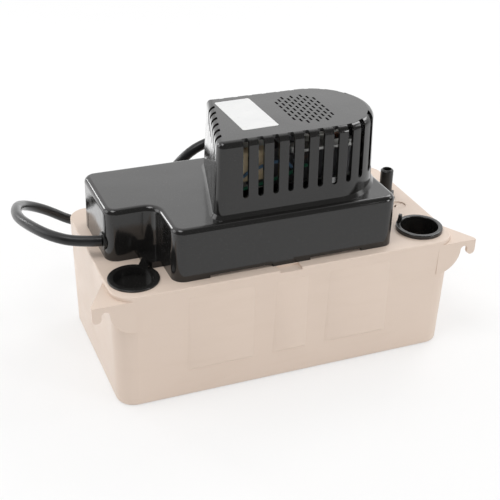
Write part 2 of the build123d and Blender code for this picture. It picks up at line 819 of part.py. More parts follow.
flange_bottom = cover_ceiling - column_flange
with BuildPart() as motor_bolts:
    with BuildSketch(Plane.XY.offset(bolt_top)):
        with Locations(*bolt_places):
            Circle(bolt_radius)
    extrude(amount=-(bolt_top - flange_bottom + bolt_nut_height + 1.0))
    with BuildSketch(Plane.XY.offset(bolt_top)):
        with Locations(*bolt_places):
            Circle(1.9 * bolt_radius)
    extrude(amount=2.4)
    with BuildSketch(Plane.XY.offset(flange_bottom)):
        with Locations(*bolt_places):
            RegularPolygon(1.75 * bolt_radius, 6, major_radius=False)
    extrude(amount=-bolt_nut_height)
finish(motor_bolts.part, "motor_bolts")

# ---------------------------------------------------------------- rotating parts
fan_bottom = stack_top + bracket_hat - 1.5 + bearing_length + 1.0
fan_top = housing_top - housing_wall - 1.6
fan_hub_radius = 7.5
fan_plate = 1.2
impeller_top = impeller_bottom + impeller_height

with BuildPart() as shaft:
    with BuildSketch(Plane.XY.offset(impeller_bottom)):
        with Locations((motor_x, motor_y)):
            Circle(shaft_radius)
    extrude(amount=fan_top - impeller_bottom)
    chamfer(shaft.edges().group_by(Axis.Z)[-1], 0.6)
finish(shaft.part, "shaft")

with BuildPart() as cooling_fan:
    with BuildSketch(Plane.XY.offset(fan_bottom)):
        with Locations((motor_x, motor_y)):
            Circle(fan_radius)
    extrude(amount=fan_plate)
    with BuildSketch(Plane.XY.offset(fan_bottom)):
        with Locations((motor_x, motor_y)):
            Circle(fan_hub_radius)
    extrude(amount=fan_top - fan_bottom)
    # upright blades that lean back from the hub
    with BuildSketch(Plane.XY.offset(fan_bottom)):
        with Locations((motor_x, motor_y)):
            with PolarLocations((fan_radius + fan_hub_radius) / 2 - 0.4, fan_blades):
                Rectangle(fan_radius - fan_hub_radius, 1.2, rotation=18)
    extrude(amount=fan_top - fan_bottom)
    with BuildSketch(Plane.XY.offset(fan_bottom)):
        with Locations((motor_x, motor_y)):
            Circle(shaft_radius)
    extrude(amount=fan_top - fan_bottom, mode=Mode.SUBTRACT)
finish(cooling_fan.part, "cooling_fan")

with BuildPart() as impeller:
    with BuildSketch(Plane.XY.offset(impeller_top - impeller_disc)):
        with Locations((motor_x, motor_y)):
            Circle(impeller_radius)
    extrude(amount=impeller_disc)
    with BuildSketch(Plane.XY.offset(impeller_bottom)):
        with Locations((motor_x, motor_y)):
            Circle(impeller_hub_radius)
    extrude(amount=impeller_height)
    # swept vanes: each is the band between two arcs
    vane_sweep = 34.0
    vane_thickness = 1.6
    with BuildSketch(Plane.XY.offset(impeller_bottom)) as vane_plan:
        for i in range(impeller_vanes):
            turn = 360 / impeller_vanes * i
            inner = Vector(impeller_hub_radius - 1.0, 0).rotate(Axis.Z, turn)
            middle = Vector((impeller_hub_radius + impeller_radius) / 2, 0).rotate(
                Axis.Z, turn - 0.35 * vane_sweep)
            outer = Vector(impeller_radius - 0.6, 0).rotate(Axis.Z, turn - vane_sweep)
            centre = Vector(motor_x, motor_y)
            with BuildLine():
                vane_line = ThreePointArc(centre + inner, centre + middle, centre + outer)
            trace(vane_line, line_width=vane_thickness)
    extrude(amount=impeller_height - impeller_disc / 2)
    with BuildSketch(Plane.XY.offset(impeller_bottom)):
        with Locations((motor_x, motor_y)):
            Circle(shaft_radius)
    extrude(amount=impeller_height, mode=Mode.SUBTRACT)
finish(impeller.part, "impeller")

slinger_z = cover_ceiling - column_flange - 8.0
with BuildPart() as slinger:
    with BuildSketch(Plane.XY.offset(slinger_z)):
        with Locations((motor_x, motor_y)):
            Circle(column_bore_radius - 2.0)
            Circle(shaft_radius, mode=Mode.SUBTRACT)
    extrude(amount=2.0)
finish(slinger.part, "slinger_washer")

# ---------------------------------------------------------------- pump column and volute
with BuildPart() as pump_column:
    with BuildSketch(Plane.XZ.offset(-motor_y)):
        with BuildLine():
            Polyline((motor_x + column_bore_radius, cover_ceiling),
                     (motor_x + column_top_radius + 4.0, cover_ceiling),
                     (motor_x + column_top_radius + 4.0, flange_bottom),
                     (motor_x + column_top_radius, flange_bottom),
                     (motor_x + column_bottom_radius, volute_top + 4.0),
                     (motor_x + volute_inner_radius - 1.0, volute_top + 4.0),
                     (motor_x + volute_inner_radius - 1.0, volute_top),
                     (motor_x + column_bore_radius, volute_top), close=True)
        make_face()
    revolve(axis=Axis((motor_x, motor_y, 0), (0, 0, 1)))
    # top flange that the motor's bolts clamp to the cover
    with BuildSketch(Plane.XY.offset(flange_bottom)):
        with Locations((motor_x, motor_y)):
            RectangleRounded(2 * bolt_spread_x + 14.0, 2 * bolt_spread_y + 14.0, 6.0)
            Circle(column_bore_radius, mode=Mode.SUBTRACT)
        with Locations(*bolt_places):
            Circle(bolt_radius + hole_gap, mode=Mode.SUBTRACT)
    extrude(amount=column_flange)
    # four gusset ribs down the column
    for turn in (0, 90, 180, 270):
        outward = Vector(1, 0).rotate(Axis.Z, turn)
        rib_plane = Plane((motor_x, motor_y, 0), x_dir=outward, z_dir=outward.rotate(Axis.Z, -90))
        with BuildSketch(rib_plane):
            with BuildLine():
                Polyline((column_bottom_radius - 1.0, volute_top + 3.0),
                         (volute_inner_radius - 2.0, volute_top + 3.0),
                         (column_bottom_radius + 2.5, volute_top + 14.0),
                         (column_top_radius + 1.5, flange_bottom - 10.0),
                         (column_top_radius + 5.0, flange_bottom + 0.5),
                         (column_top_radius - 2.0, flange_bottom + 0.5), close=True)
            make_face()
        extrude(amount=1.0, both=True)
    # weep windows let water out of the column above the volute
    diagonal = Vector(1, 0).rotate(Axis.Z, 45)
    window_plane = Plane((motor_x, motor_y, 0), x_dir=diagonal, z_dir=diagonal.rotate(Axis.Z, -90))
    with BuildSketch(window_plane):
        with Locations((0, volute_top + 34.0)):
            SlotOverall(22.0, 5.0, rotation=90)
    extrude(amount=2 * column_top_radius, both=True, mode=Mode.SUBTRACT)
    # screw holes into the volute
    with Locations((motor_x, motor_y, volute_top + 4.0)):
        with PolarLocations(column_bottom_radius + 5.0, 4, start_angle=45):
            Hole(screw_radius + hole_gap, depth=4.0)
finish(pump_column.part, "pump_column")

# scroll whose radius grows by quarter turns towards the outlet
scroll_steps = 4
volute_height = volute_top - volute_bottom


def scroll_plan(wall):
    """Face of the scroll, moved out by wall: four arcs whose centres step round the shaft."""
    step = volute_growth / scroll_steps
    radius = volute_inner_radius + wall
    with BuildSketch() as plan:
        with BuildLine():
            centre = Vector(motor_x, motor_y)
            start = centre + Vector(0, radius)
            points = [start]
            for i in range(1, scroll_steps + 1):
                angle = 90 - 90 * i
                reach = radius + step * i
                points.append(centre + Vector(reach, 0).rotate(Axis.Z, angle))
            for i in range(scroll_steps):
                angle = 90 - 90 * i - 45
                reach = radius + step * (i + 0.5)
                middle = centre + Vector(reach, 0).rotate(Axis.Z, angle)
                ThreePointArc(points[i], middle, points[i + 1])
            Line(points[-1], points[0])
        make_face()
    return plan.sketch


outlet_z = (volute_bottom + volute_top) / 2
outlet_end = motor_x + volute_inner_radius + volute_growth + 14.0
outlet_root = motor_x + volute_inner_radius - 6.0
with BuildPart() as volute:
    with BuildSketch(Plane.XY.offset(volute_bottom)):
        add(scroll_plan(volute_wall))
    extrude(amount=volute_height)
    with BuildSketch(Plane.YZ.offset(motor_x)):
        with Locations((outlet_y, outlet_z)):
            Circle(outlet_radius)
    extrude(amount=outlet_end - motor_x)
    with BuildSketch(Plane.XY.offset(volute_bottom)):
        add(scroll_plan(0))
    extrude(amount=volute_height - volute_wall, mode=Mode.SUBTRACT)
    with BuildSketch(Plane.YZ.offset(motor_x)):
        with Locations((outlet_y, outlet_z)):
            Circle(outlet_radius - 1.4)
    extrude(amount=outlet_end - motor_x, mode=Mode.SUBTRACT)
    with Locations((motor_x, motor_y, volute_top)):
        Hole(shaft_radius + 4 * hole_gap, depth=2 * volute_wall)
        with PolarLocations(column_bottom_radius + 5.0, 4, start_angle=45):
            Hole(screw_radius, depth=2 * volute_wall)
finish(volute.part, "volute")

with BuildPart() as volute_plate_part:
    with BuildSketch(Plane.XY.offset(volute_bottom)):
        add(scroll_plan(volute_wall))
        with Locations((motor_x, motor_y)):
            Circle(suction_radius, mode=Mode.SUBTRACT)
    extrude(amount=-volute_plate)
    # short feet keep the suction eye off the tank's floor
    with BuildSketch(Plane.XY.offset(volute_bottom - volute_plate)):
        with Locations((motor_x, motor_y)):
            with PolarLocations(volute_inner_radius - 5.0, 3, start_angle=30):
                Circle(3.0)
    extrude(amount=-(volute_bottom - volute_plate - tank_floor))
finish(volute_plate_part.part, "volute_base_plate")

with BuildPart() as volute_screws:
    with BuildSketch(Plane.XY.offset(volute_top + 4.0)):
        with Locations((motor_x, motor_y)):
            with PolarLocations(column_bottom_radius + 5.0, 4, start_angle=45):
                Circle(screw_radius)
    extrude(amount=-4.0 - volute_wall)
    with BuildSketch(Plane.XY.offset(volute_top + 4.0)):
        with Locations((motor_x, motor_y)):
            with PolarLocations(column_bottom_radius + 5.0, 4, start_angle=45):
                Circle(1.9 * screw_radius)
    extrude(amount=1.6)
finish(volute_screws.part, "volute_screws")

# ---------------------------------------------------------------- discharge line and check valve
stub_bottom = valve_body_bottom - valve_stub
hose_start = outlet_end - 10.0
with BuildPart() as discharge_hose:
    with BuildLine():
        FilletPolyline((hose_start, outlet_y, outlet_z), (valve_x, outlet_y, outlet_z),
                       (valve_x, outlet_y, valve_body_bottom - 2.0), radius=hose_bend_radius)
    with BuildSketch(Plane((hose_start, outlet_y, outlet_z), z_dir=(1, 0, 0))):
        Circle(outlet_radius + running_clearance + hose_wall)
        Circle(outlet_radius + running_clearance, mode=Mode.SUBTRACT)
    sweep()
finish(discharge_hose.part, "discharge_hose")

ball_z = valve_body_bottom + 8.0
seat_hole = 0.72 * ball_radius
with BuildPart() as check_valve_body:
    with BuildSketch(Plane.XZ.offset(-outlet_y)):
        with BuildLine():
            Polyline((valve_x, stub_bottom), (valve_x + outlet_radius, stub_bottom),
                     (valve_x + outlet_radius, valve_body_bottom),
                     (valve_x + valve_body_radius, valve_body_bottom),
                     (valve_x + valve_body_radius, rim_height - 1.8),
                     (valve_x + valve_body_radius + 2.5, rim_height - 1.8),
                     (valve_x + valve_body_radius + 2.5, rim_height - 0.05),
                     (valve_x + valve_thread_radius, rim_height - 0.05),
                     (valve_x + valve_thread_radius, deck_height),
                     (valve_x, deck_height), close=True)
        make_face()
    revolve(axis=Axis((valve_x, outlet_y, 0), (0, 0, 1)))
    # ball chamber over a conical seat, then the way through to the stub
    with BuildSketch(Plane.XZ.offset(-outlet_y)):
        with BuildLine():
            Polyline((valve_x, stub_bottom - 1), (valve_x + seat_hole, stub_bottom - 1),
                     (valve_x + seat_hole, ball_z - 0.9 * ball_radius),
                     (valve_x + ball_radius + 1.2, ball_z + 0.1 * ball_radius),
                     (valve_x + ball_radius + 1.2, deck_height + 1), (valve_x, deck_height + 1),
                     close=True)
        make_face()
    revolve(axis=Axis((valve_x, outlet_y, 0), (0, 0, 1)), mode=Mode.SUBTRACT)
finish(check_valve_body.part, "check_valve_body")

with BuildPart() as check_ball:
    with Locations((valve_x, outlet_y, ball_z)):
        Sphere(ball_radius)
finish(check_ball.part, "check_ball")

insert_bottom = ball_z + ball_radius + ball_lift + seat_gap
with BuildPart() as discharge_barb:
    # insert that threads into the valve body and stops the ball
    with BuildSketch(Plane.XY.offset(insert_bottom)):
        with Locations((valve_x, outlet_y)):
            Circle(ball_radius + 1.2)
    extrude(amount=deck_height - insert_bottom)
    with BuildSketch(Plane.XY.offset(deck_height)):
        with Locations((valve_x, outlet_y)):
            RegularPolygon(hex_across_flats / 2, 6, major_radius=False)
    extrude(amount=hex_height)
    with BuildSketch(Plane.XY.offset(deck_height + hex_height)):
        with Locations((valve_x, outlet_y)):
            Circle(barb_outer_radius)
    extrude(amount=barb_height - hex_height)
    chamfer(discharge_barb.edges().group_by(Axis.Z)[-1], 1.0)
    with BuildSketch(Plane.XY.offset(insert_bottom)):
        with Locations((valve_x, outlet_y)):
            Circle(barb_bore_radius)
    extrude(amount=barb_height + deck_height - insert_bottom, mode=Mode.SUBTRACT)
    # cross slot in the insert, so the ball can't seal it
    with BuildSketch(Plane.XY.offset(insert_bottom)):
        with Locations((valve_x, outlet_y)):
            Rectangle(2.0, 2 * ball_radius + 4.0)
            Rectangle(2 * ball_radius + 4.0, 2.0)
    extrude(amount=2.0, mode=Mode.SUBTRACT)
finish(discharge_barb.part, "discharge_barb")

# ---------------------------------------------------------------- switches, levers and float
cheek_front = mechanism_y - cheek_gap / 2
cheek_back = mechanism_y + cheek_gap / 2
bracket_left = switch_left - 1.5
bracket_right = switch_left + switch_length + 1.5
pin_radius = 1.5
switch_hole_radius = 1.5
switch_holes = [
    (switch_left + 2.9, switch_bottom + 3.0),
    (switch_left + switch_length - 2.9, switch_bottom + switch_height - 2.7),
]

with BuildPart() as switch_bracket:
    for y in (cheek_front, cheek_back + cheek_sheet):
        with BuildSketch(Plane.XZ.offset(-y)):
            with BuildLine():
                Polyline((bracket_left, cover_ceiling), (bracket_right, cover_ceiling),
                         (bracket_right, switch_bottom - 1.0), (pivot_x + 5.0, pivot_z + 3.0),
                         (pivot_x + 5.0, pivot_z - 1.5), (pivot_x + 1.5, pivot_z - 5.0),
                         (pivot_x - 1.5, pivot_z - 5.0), (pivot_x - 5.0, pivot_z - 1.5),
                         (pivot_x - 5.0, pivot_z + 3.0), (bracket_left, switch_bottom - 1.0),
                         close=True)
            make_face()
            with Locations((pivot_x, pivot_z)):
                Circle(pin_radius + running_clearance, mode=Mode.SUBTRACT)
            with Locations(*switch_holes):
                Circle(switch_hole_radius + running_clearance, mode=Mode.SUBTRACT)
        extrude(amount=cheek_sheet)
    with BuildSketch(Plane.XY.offset(cover_ceiling)):
        with Locations(((bracket_left + bracket_right) / 2, mechanism_y)):
            Rectangle(bracket_right - bracket_left, cheek_gap + 2 * cheek_sheet)
    extrude(amount=-cheek_sheet)
finish(switch_bracket.part, "switch_bracket")

hinge_x = switch_left + lever_pivot_inset
hinge_z = switch_bottom - lever_drop
hinge_pin_radius = 0.6
ear_sheet = 1.2
run_switch_front = cheek_front
safety_switch_front = cheek_back - switch_thickness


def micro_switch(front):
    """Snap switch with two mounting holes, hinge ears and a pin for its lever."""
    middle = front + switch_thickness / 2
    with BuildPart() as switch:
        with BuildSketch(Plane.XZ.offset(-front)):
            with Locations((switch_left + switch_length / 2, switch_bottom + switch_height / 2)):
                RectangleRounded(switch_length, switch_height, 1.0)
            with Locations(*switch_holes):
                Circle(switch_hole_radius + running_clearance, mode=Mode.SUBTRACT)
        extrude(amount=-switch_thickness)
        for y in (middle - lever_width / 2 - 0.3, middle + lever_width / 2 + 0.3 + ear_sheet):
            with BuildSketch(Plane.XZ.offset(-y)):
                with Locations((hinge_x, hinge_z + lever_drop / 2)):
                    Rectangle(2 * lever_barrel, lever_drop + 1.5)
            extrude(amount=ear_sheet)
        with BuildSketch(Plane.XZ.offset(-middle)):
            with Locations((hinge_x, hinge_z)):
                Circle(hinge_pin_radius)
        extrude(amount=lever_width / 2 + 0.5, both=True)
        # three blade terminals on top
        with BuildSketch(Plane.XY.offset(switch_bottom + switch_height)):
            with Locations((switch_left + switch_length / 2, middle)):
                with GridLocations(9.0, 1.0, 3, 1):
                    Rectangle(4.8, 0.8)
        extrude(amount=4.5)
    return switch


def switch_lever(front, angle):
    """Actuator strip on a small barrel round the hinge pin, tilted by angle."""
    middle = front + switch_thickness / 2
    tilted = Plane((hinge_x, middle, hinge_z), x_dir=(1, 0, 0), z_dir=(0, -1, 0))
    tilted = tilted.rotated((0, 0, 0))
    with BuildPart() as lever:
        with BuildSketch(tilted):
            with BuildLine():
                run = Vector(lever_length, 0).rotate(Axis.Z, angle)
                up = Vector(0, lever_sheet / 2).rotate(Axis.Z, angle)
                root = Vector(lever_barrel - 0.3, 0).rotate(Axis.Z, angle)
                Polyline(root - up, run - up, run + up, root + up, close=True)
            make_face()
            Circle(lever_barrel)
            Circle(hinge_pin_radius + running_clearance, mode=Mode.SUBTRACT)
        extrude(amount=lever_width / 2, both=True)
    return lever


finish(micro_switch(run_switch_front).part, "run_switch")
finish(micro_switch(safety_switch_front).part, "safety_switch")
finish(switch_lever(run_switch_front, run_lever_angle).part, "run_switch_lever")
finish(switch_lever(safety_switch_front, safety_lever_angle).part, "safety_switch_lever")

with BuildPart() as switch_screws:
    with BuildSketch(Plane.XZ.offset(-(cheek_front - cheek_sheet))):
        with Locations(*switch_holes):
            Circle(switch_hole_radius)
    extrude(amount=-(cheek_gap + 2 * cheek_sheet + 2.5))
    for y, amount in ((cheek_front - cheek_sheet, 1.8), (cheek_back + cheek_sheet, -2.2)):
        with BuildSketch(Plane.XZ.offset(-y)):
            with Locations(*switch_holes):
                Circle(1.8 * switch_hole_radius)
        extrude(amount=amount)
    # spacer sleeves between the two switches
    with BuildSketch(Plane.XZ.offset(-(run_switch_front + switch_thickness))):
        with Locations(*switch_holes):
            Circle(1.6 * switch_hole_radius)
    extrude(amount=-(cheek_gap - 2 * switch_thickness))
finish(switch_screws.part, "switch_screws")

with BuildPart() as float_pin:
    with BuildSketch(Plane.XZ.offset(-(cheek_front - cheek_sheet - 1.5))):
        with Locations((pivot_x, pivot_z)):
            Circle(pin_radius)
    extrude(amount=-(cheek_gap + 2 * cheek_sheet + 3.0))
    with BuildSketch(Plane.XZ.offset(-(cheek_front - cheek_sheet))):
        with Locations((pivot_x, pivot_z)):
            Circle(1.7 * pin_radius)
    extrude(amount=1.5)
finish(float_pin.part, "float_pin")

float_x = pivot_x + arm_reach_x
float_z = pivot_z + arm_reach_z
horn = Vector(horn_radius, 0).rotate(Axis.Z, horn_angle)
hub_radius = 3.6
with BuildPart() as float_arm:
    with BuildSketch(Plane.XZ.offset(-mechanism_y)) as arm_plan:
        with Locations((pivot_x, pivot_z)):
            Circle(hub_radius)
        with BuildLine():
            arm_line = Line((pivot_x, pivot_z), (float_x, float_z))
        trace(arm_line, line_width=arm_thickness)
        with Locations((pivot_x, pivot_z)):
            Circle(pin_radius + running_clearance, mode=Mode.SUBTRACT)
    extrude(amount=arm_width / 2, both=True)
    # hub and cam horn run across below the run switch's lever
    with BuildSketch(Plane.XZ.offset(-(cheek_front + 0.5))):
        with Locations((pivot_x, pivot_z)):
            Circle(hub_radius)
        with Locations((pivot_x + horn.X, pivot_z + horn.Y)):
            Circle(horn_tip_radius)
        with BuildLine():
            horn_line = Line((pivot_x, pivot_z), (pivot_x + horn.X, pivot_z + horn.Y))
        trace(horn_line, line_width=2 * horn_tip_radius)
        with Locations((pivot_x, pivot_z)):
            Circle(pin_radius + running_clearance, mode=Mode.SUBTRACT)
    extrude(amount=-(cheek_gap - 1.0))
finish(float_arm.part, "float_arm")

with BuildPart() as float_body:
    with BuildSketch(Plane.XZ.offset(-mechanism_y)):
        with Locations((float_x + 4.0, float_z)):
            RectangleRounded(float_length, float_height, 4.0)
    extrude(amount=float_width / 2, both=True)
    fillet(float_body.edges().filter_by(Axis.Y, reverse=True), 1.0)
    add(float_arm.part, mode=Mode.SUBTRACT)
finish(float_body.part, "float_body")

# ---------------------------------------------------------------- cover and housing screws
with BuildPart() as cover_screws:
    with BuildSketch(Plane.XY.offset(rim_height)):
        with Locations(*cover_bosses):
            Circle(screw_radius)
    extrude(amount=lid_thickness + 12.0)
    with BuildSketch(Plane.XY.offset(rim_height)):
        with Locations(*cover_bosses):
            Circle(1.9 * screw_radius)
    extrude(amount=-1.8)
finish(cover_screws.part, "cover_screws")

with BuildPart() as housing_screws:
    with BuildSketch(Plane.XY.offset(cover_ceiling)):
        with Locations(*housing_bosses):
            Circle(screw_radius)
    extrude(amount=cover_wall + 0.7 * housing_boss_height)
    with BuildSketch(Plane.XY.offset(cover_ceiling)):
        with Locations(*housing_bosses):
            Circle(1.9 * screw_radius)
    extrude(amount=-1.8)
finish(housing_screws.part, "housing_screws")

# ---------------------------------------------------------------- leads inside the motor housing
lead_radius = 1.1


def lead(points, bend, name):
    """A wire of straight runs joined by tangent arcs."""
    with BuildPart() as wire:
        with BuildLine() as route:
            FilletPolyline(*points, radius=bend)
        with BuildSketch(Plane(route.line @ 0, z_dir=route.line % 0)):
            Circle(lead_radius)
        sweep()
    finish(wire.part, name)


lead_front = motor_y - stack_half_width - 4.0
lead(
    [(wire_hole_x - 1.5, wire_hole_y - 2.0, cover_ceiling),
     (wire_hole_x - 1.5, wire_hole_y - 2.0, cover_top + 7.0),
     (wire_hole_x + 4.0, lead_front + 1.0, cover_top + 14.0),
     (-20.0, lead_front, cover_top + 16.5), (0.0, lead_front - 0.5, cover_top + 21.0),
     (14.0, lead_front, cover_top + 26.0), (19.0, lead_front + 2.8, cover_top + 22.0)],
    4.0, "lead_green")
lead(
    [(wire_hole_x + 2.0, wire_hole_y - 2.0, cover_ceiling),
     (wire_hole_x + 2.0, wire_hole_y - 2.0, cover_top + 14.0),
     (-27.0, lead_front + 2.0, cover_top + 25.0), (-12.0, lead_front - 1.0, cover_top + 32.0),
     (0.0, lead_front + 1.0, cover_top + 30.0), (5.0, lead_front + 2.8, cover_top + 24.0)],
    4.0, "lead_blue")
lead(
    [(wire_hole_x, wire_hole_y + 2.5, cover_ceiling),
     (wire_hole_x, wire_hole_y + 2.5, cover_top + 5.0),
     (-31.0, coil_front - 4.0, cover_top + 12.0), (-27.0, coil_front - 2.4, cover_top + 22.0)],
    3.0, "lead_brown")

# ---------------------------------------------------------------- cord, its bushing, coil and plug
bushing_left = cover_left - bushing_flange
with BuildPart() as cord_bushing:
    with BuildSketch(Plane.YZ.offset(bushing_left)):
        with Locations((exit_y, exit_z)):
            Circle(bushing_flange_radius)
    extrude(amount=bushing_flange)
    with BuildSketch(Plane.YZ.offset(bushing_left)):
        with Locations((exit_y, exit_z)):
            Circle(bushing_radius)
    extrude(amount=bushing_length)
finish(cord_bushing.part, "cord_bushing")

# the cord leaves the bushing, loops out to the left, passes behind the tank, rises in an arc behind
# the cover and comes down to a coil on the floor
coil_x = 20.0
coil_y = 130.0
coil_mean_radius = 38.0
coil_width = 6.2 * cord_radius
coil_height = 4.2 * cord_radius
coil_inner_turn = coil_mean_radius - 2.05 * cord_radius
coil_outer_turn = coil_mean_radius + 2.05 * cord_radius
coil_entry_z = coil_height + 1.25
route = [
    (bushing_left, exit_y, exit_z),
    (-133.5, -4.5, exit_z),
    (-147.0, 5.5, 100.5),
    (-156.5, 21.5, 100.5),
    (-163.0, 48.0, 96.5),
    (-159.5, 75.5, 90.5),
    (-150.5, 97.0, 81.0),
    (-132.0, 108.0, 68.5),
    (-111.0, 104.5, 55.5),
    (-81.5, 91.5, 55.0),
    (-58.5, 78.5, 78.5),
    (-42.0, 76.5, 109.0),
    (-18.0, 75.0, 126.5),
    (13.0, 72.5, 124.5),
    (35.0, 76.0, 106.0),
    (49.0, 80.0, 80.0),
    (54.5, 83.0, 54.0),
    (56.0, 94.0, 35.0),
    (54.0, 112.0, 24.0),
    (coil_x + coil_inner_turn, coil_y, coil_entry_z),
]


def corner_radii(points):
    """Radius at each corner of a route, as large as its two runs allow."""
    radii = []
    for before, at, after in zip(points, points[1:], points[2:]):
        run_in = Vector(at) - Vector(before)
        run_out = Vector(after) - Vector(at)
        half_turn = math.radians(run_in.get_angle(run_out) / 2)
        radii.append(0.45 * min(run_in.length, run_out.length) / math.tan(half_turn))
    return radii


radii = corner_radii(route)
print("cord radii", [round(radius, 1) for radius in radii])
with BuildPart() as power_cord:
    with BuildLine() as cord_line:
        FilletPolyline(*route, radius=radii)
    with BuildSketch(Plane(cord_line.line @ 0, z_dir=cord_line.line % 0)):
        Circle(cord_radius)
    sweep()
cord_section = math.pi * cord_radius**2
cord_run = cord_line.wire().length
print("cord run", round(cord_run, 1))
print("cord volume over section times length",
      round(power_cord.part.volume / (cord_section * cord_run), 4))
finish(power_cord.part, "power_cord")

# the rest of the cord is wound in a coil that lies on the floor behind the tank
with BuildPart() as cord_coil:
    with BuildSketch(Plane.XZ.offset(-coil_y)):
        with Locations((coil_x + coil_mean_radius, coil_height / 2)):
            RectangleRounded(coil_width, coil_height, 0.9 * cord_radius)
    revolve(axis=Axis((coil_x, coil_y, 0), (0, 0, 1)))
finish(cord_coil.part, "cord_coil")

# moulded plug that lies on the floor beside the coil, its pins along -X
plug_tail_x = coil_x - 12.0
plug_y = coil_y + coil_outer_turn
plug_z = plug_width / 2
with BuildPart() as plug_body:
    with BuildSketch(Plane.YZ.offset(plug_tail_x)):
        with Locations((plug_y, plug_z)):
            Circle(cord_radius + 0.6)
    with BuildSketch(Plane.YZ.offset(plug_tail_x - plug_tail_length)):
        with Locations((plug_y, plug_z)):
            Circle(cord_radius + 2.2)
    loft()
    with BuildSketch(Plane.YZ.offset(plug_tail_x - plug_tail_length)):
        with Locations((plug_y, plug_z)):
            RectangleRounded(plug_width, plug_width, 7.0)
    extrude(amount=-plug_body_length)
    fillet(plug_body.edges().group_by(Axis.X)[0], 1.2)
finish(plug_body.part, "plug_body")

plug_face_x = plug_tail_x - plug_tail_length - plug_body_length
with BuildPart() as plug_blades:
    with BuildSketch(Plane.YZ.offset(plug_face_x)):
        with Locations((plug_y, plug_z + 2.0)):
            with GridLocations(blade_spacing, 1.0, 2, 1):
                Rectangle(blade_thickness, blade_width)
    extrude(amount=-blade_length)
finish(plug_blades.part, "plug_blades")

with BuildPart() as plug_ground_pin:
    with BuildSketch(Plane.YZ.offset(plug_face_x)):
        with Locations((plug_y, plug_z - 6.0)):
            Circle(ground_pin_radius)
    extrude(amount=-blade_length - 3.2)
    fillet(plug_ground_pin.edges().group_by(Axis.X)[0], 0.45 * ground_pin_radius)
finish(plug_ground_pin.part, "plug_ground_pin")
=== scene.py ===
"""Condensate pump: finishes, cord, wall panels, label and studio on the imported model. Metres, CAD frame."""

import json
import math

import bpy
from mathutils import Matrix, Vector


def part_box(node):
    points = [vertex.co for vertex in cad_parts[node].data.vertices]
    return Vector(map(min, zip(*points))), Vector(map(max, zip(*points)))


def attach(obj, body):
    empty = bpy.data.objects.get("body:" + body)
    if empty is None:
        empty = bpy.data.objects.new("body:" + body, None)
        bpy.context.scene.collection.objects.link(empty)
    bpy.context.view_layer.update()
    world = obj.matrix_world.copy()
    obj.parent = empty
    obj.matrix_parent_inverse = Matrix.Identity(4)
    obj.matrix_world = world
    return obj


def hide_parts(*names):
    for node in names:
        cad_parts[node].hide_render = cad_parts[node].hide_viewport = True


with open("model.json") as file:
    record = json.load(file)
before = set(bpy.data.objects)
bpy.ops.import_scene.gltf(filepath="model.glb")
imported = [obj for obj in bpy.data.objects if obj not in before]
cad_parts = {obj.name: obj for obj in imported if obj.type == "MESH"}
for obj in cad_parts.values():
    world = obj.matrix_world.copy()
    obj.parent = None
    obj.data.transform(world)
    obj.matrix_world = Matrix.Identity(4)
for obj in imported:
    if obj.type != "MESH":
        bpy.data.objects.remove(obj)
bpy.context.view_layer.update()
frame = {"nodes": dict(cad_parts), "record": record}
MM = 0.001

# ---------------------------------------------------------------- camera

CAMERA_PLACE = Vector((-0.2644, -0.6173, 0.4467))
CAMERA_AZIMUTH = math.radians(-22.66)
CAMERA_ELEVATION = math.radians(29.56)
CAMERA_ROLL = math.radians(1.76)
CAMERA_LENS = 76.56
NEAREST_SEEN, FARTHEST_SEEN = 0.01, 20


def make_camera():
    """The camera, aimed by its azimuth, elevation and roll."""
    level = math.cos(CAMERA_ELEVATION)
    sideways, forwards = math.sin(CAMERA_AZIMUTH) * level, -math.cos(CAMERA_AZIMUTH) * level
    back = Vector((sideways, forwards, math.sin(CAMERA_ELEVATION)))
    right = Vector((0, 0, 1)).cross(back).normalized()
    up = back.cross(right)
    turned_right = math.cos(CAMERA_ROLL) * right + math.sin(CAMERA_ROLL) * up
    turned_up = back.cross(turned_right)
    data = bpy.data.cameras.new("camera")
    data.lens = CAMERA_LENS
    data.clip_start = NEAREST_SEEN
    data.clip_end = FARTHEST_SEEN
    camera = bpy.data.objects.new("camera", data)
    bpy.context.collection.objects.link(camera)
    turn = Matrix((turned_right, turned_up, back)).transposed()
    camera.matrix_world = Matrix.Translation(CAMERA_PLACE) @ turn.to_4x4()
    bpy.context.scene.camera = camera


make_camera()

# ---------------------------------------------------------------- cord

CORD_RADIUS = 3.75 * MM
CORD_EXIT = (-0.1175, -0.0085, 0.0995)

# from the bushing round the left end, up behind the housing and down to the coil
cord_route = [
    CORD_EXIT,
    (-0.1335, -0.0045, 0.0995),
    (-0.1470, 0.0055, 0.1005),
    (-0.1565, 0.0215, 0.1005),
    (-0.1630, 0.0480, 0.0965),
    (-0.1595, 0.0755, 0.0905),
    (-0.1505, 0.0970, 0.0810),
    (-0.1320, 0.1080, 0.0685),
    (-0.1110, 0.1045, 0.0555),
    (-0.0815, 0.0915, 0.0550),
    (-0.0560, 0.0785, 0.0745),
    (-0.0395, 0.0765, 0.1045),
    (-0.0170, 0.0750, 0.1225),
    (0.0130, 0.0735, 0.1225),
    (0.0350, 0.0760, 0.1060),
    (0.0490, 0.0800, 0.0800),
    (0.0545, 0.0830, 0.0540),
    (0.0560, 0.0940, 0.0350),
    (0.0540, 0.1120, 0.0240),
]

COIL_CENTRE = Vector((0.020, 0.130, 0.0))
TURN_PITCH = 2.05 * CORD_RADIUS
MIDDLE = 38 * MM
INNER, OUTER = MIDDLE - TURN_PITCH, MIDDLE + TURN_PITCH
LAYER_GAP = 0.2 * MM
LOW, HIGH = CORD_RADIUS, 3 * CORD_RADIUS + LAYER_GAP

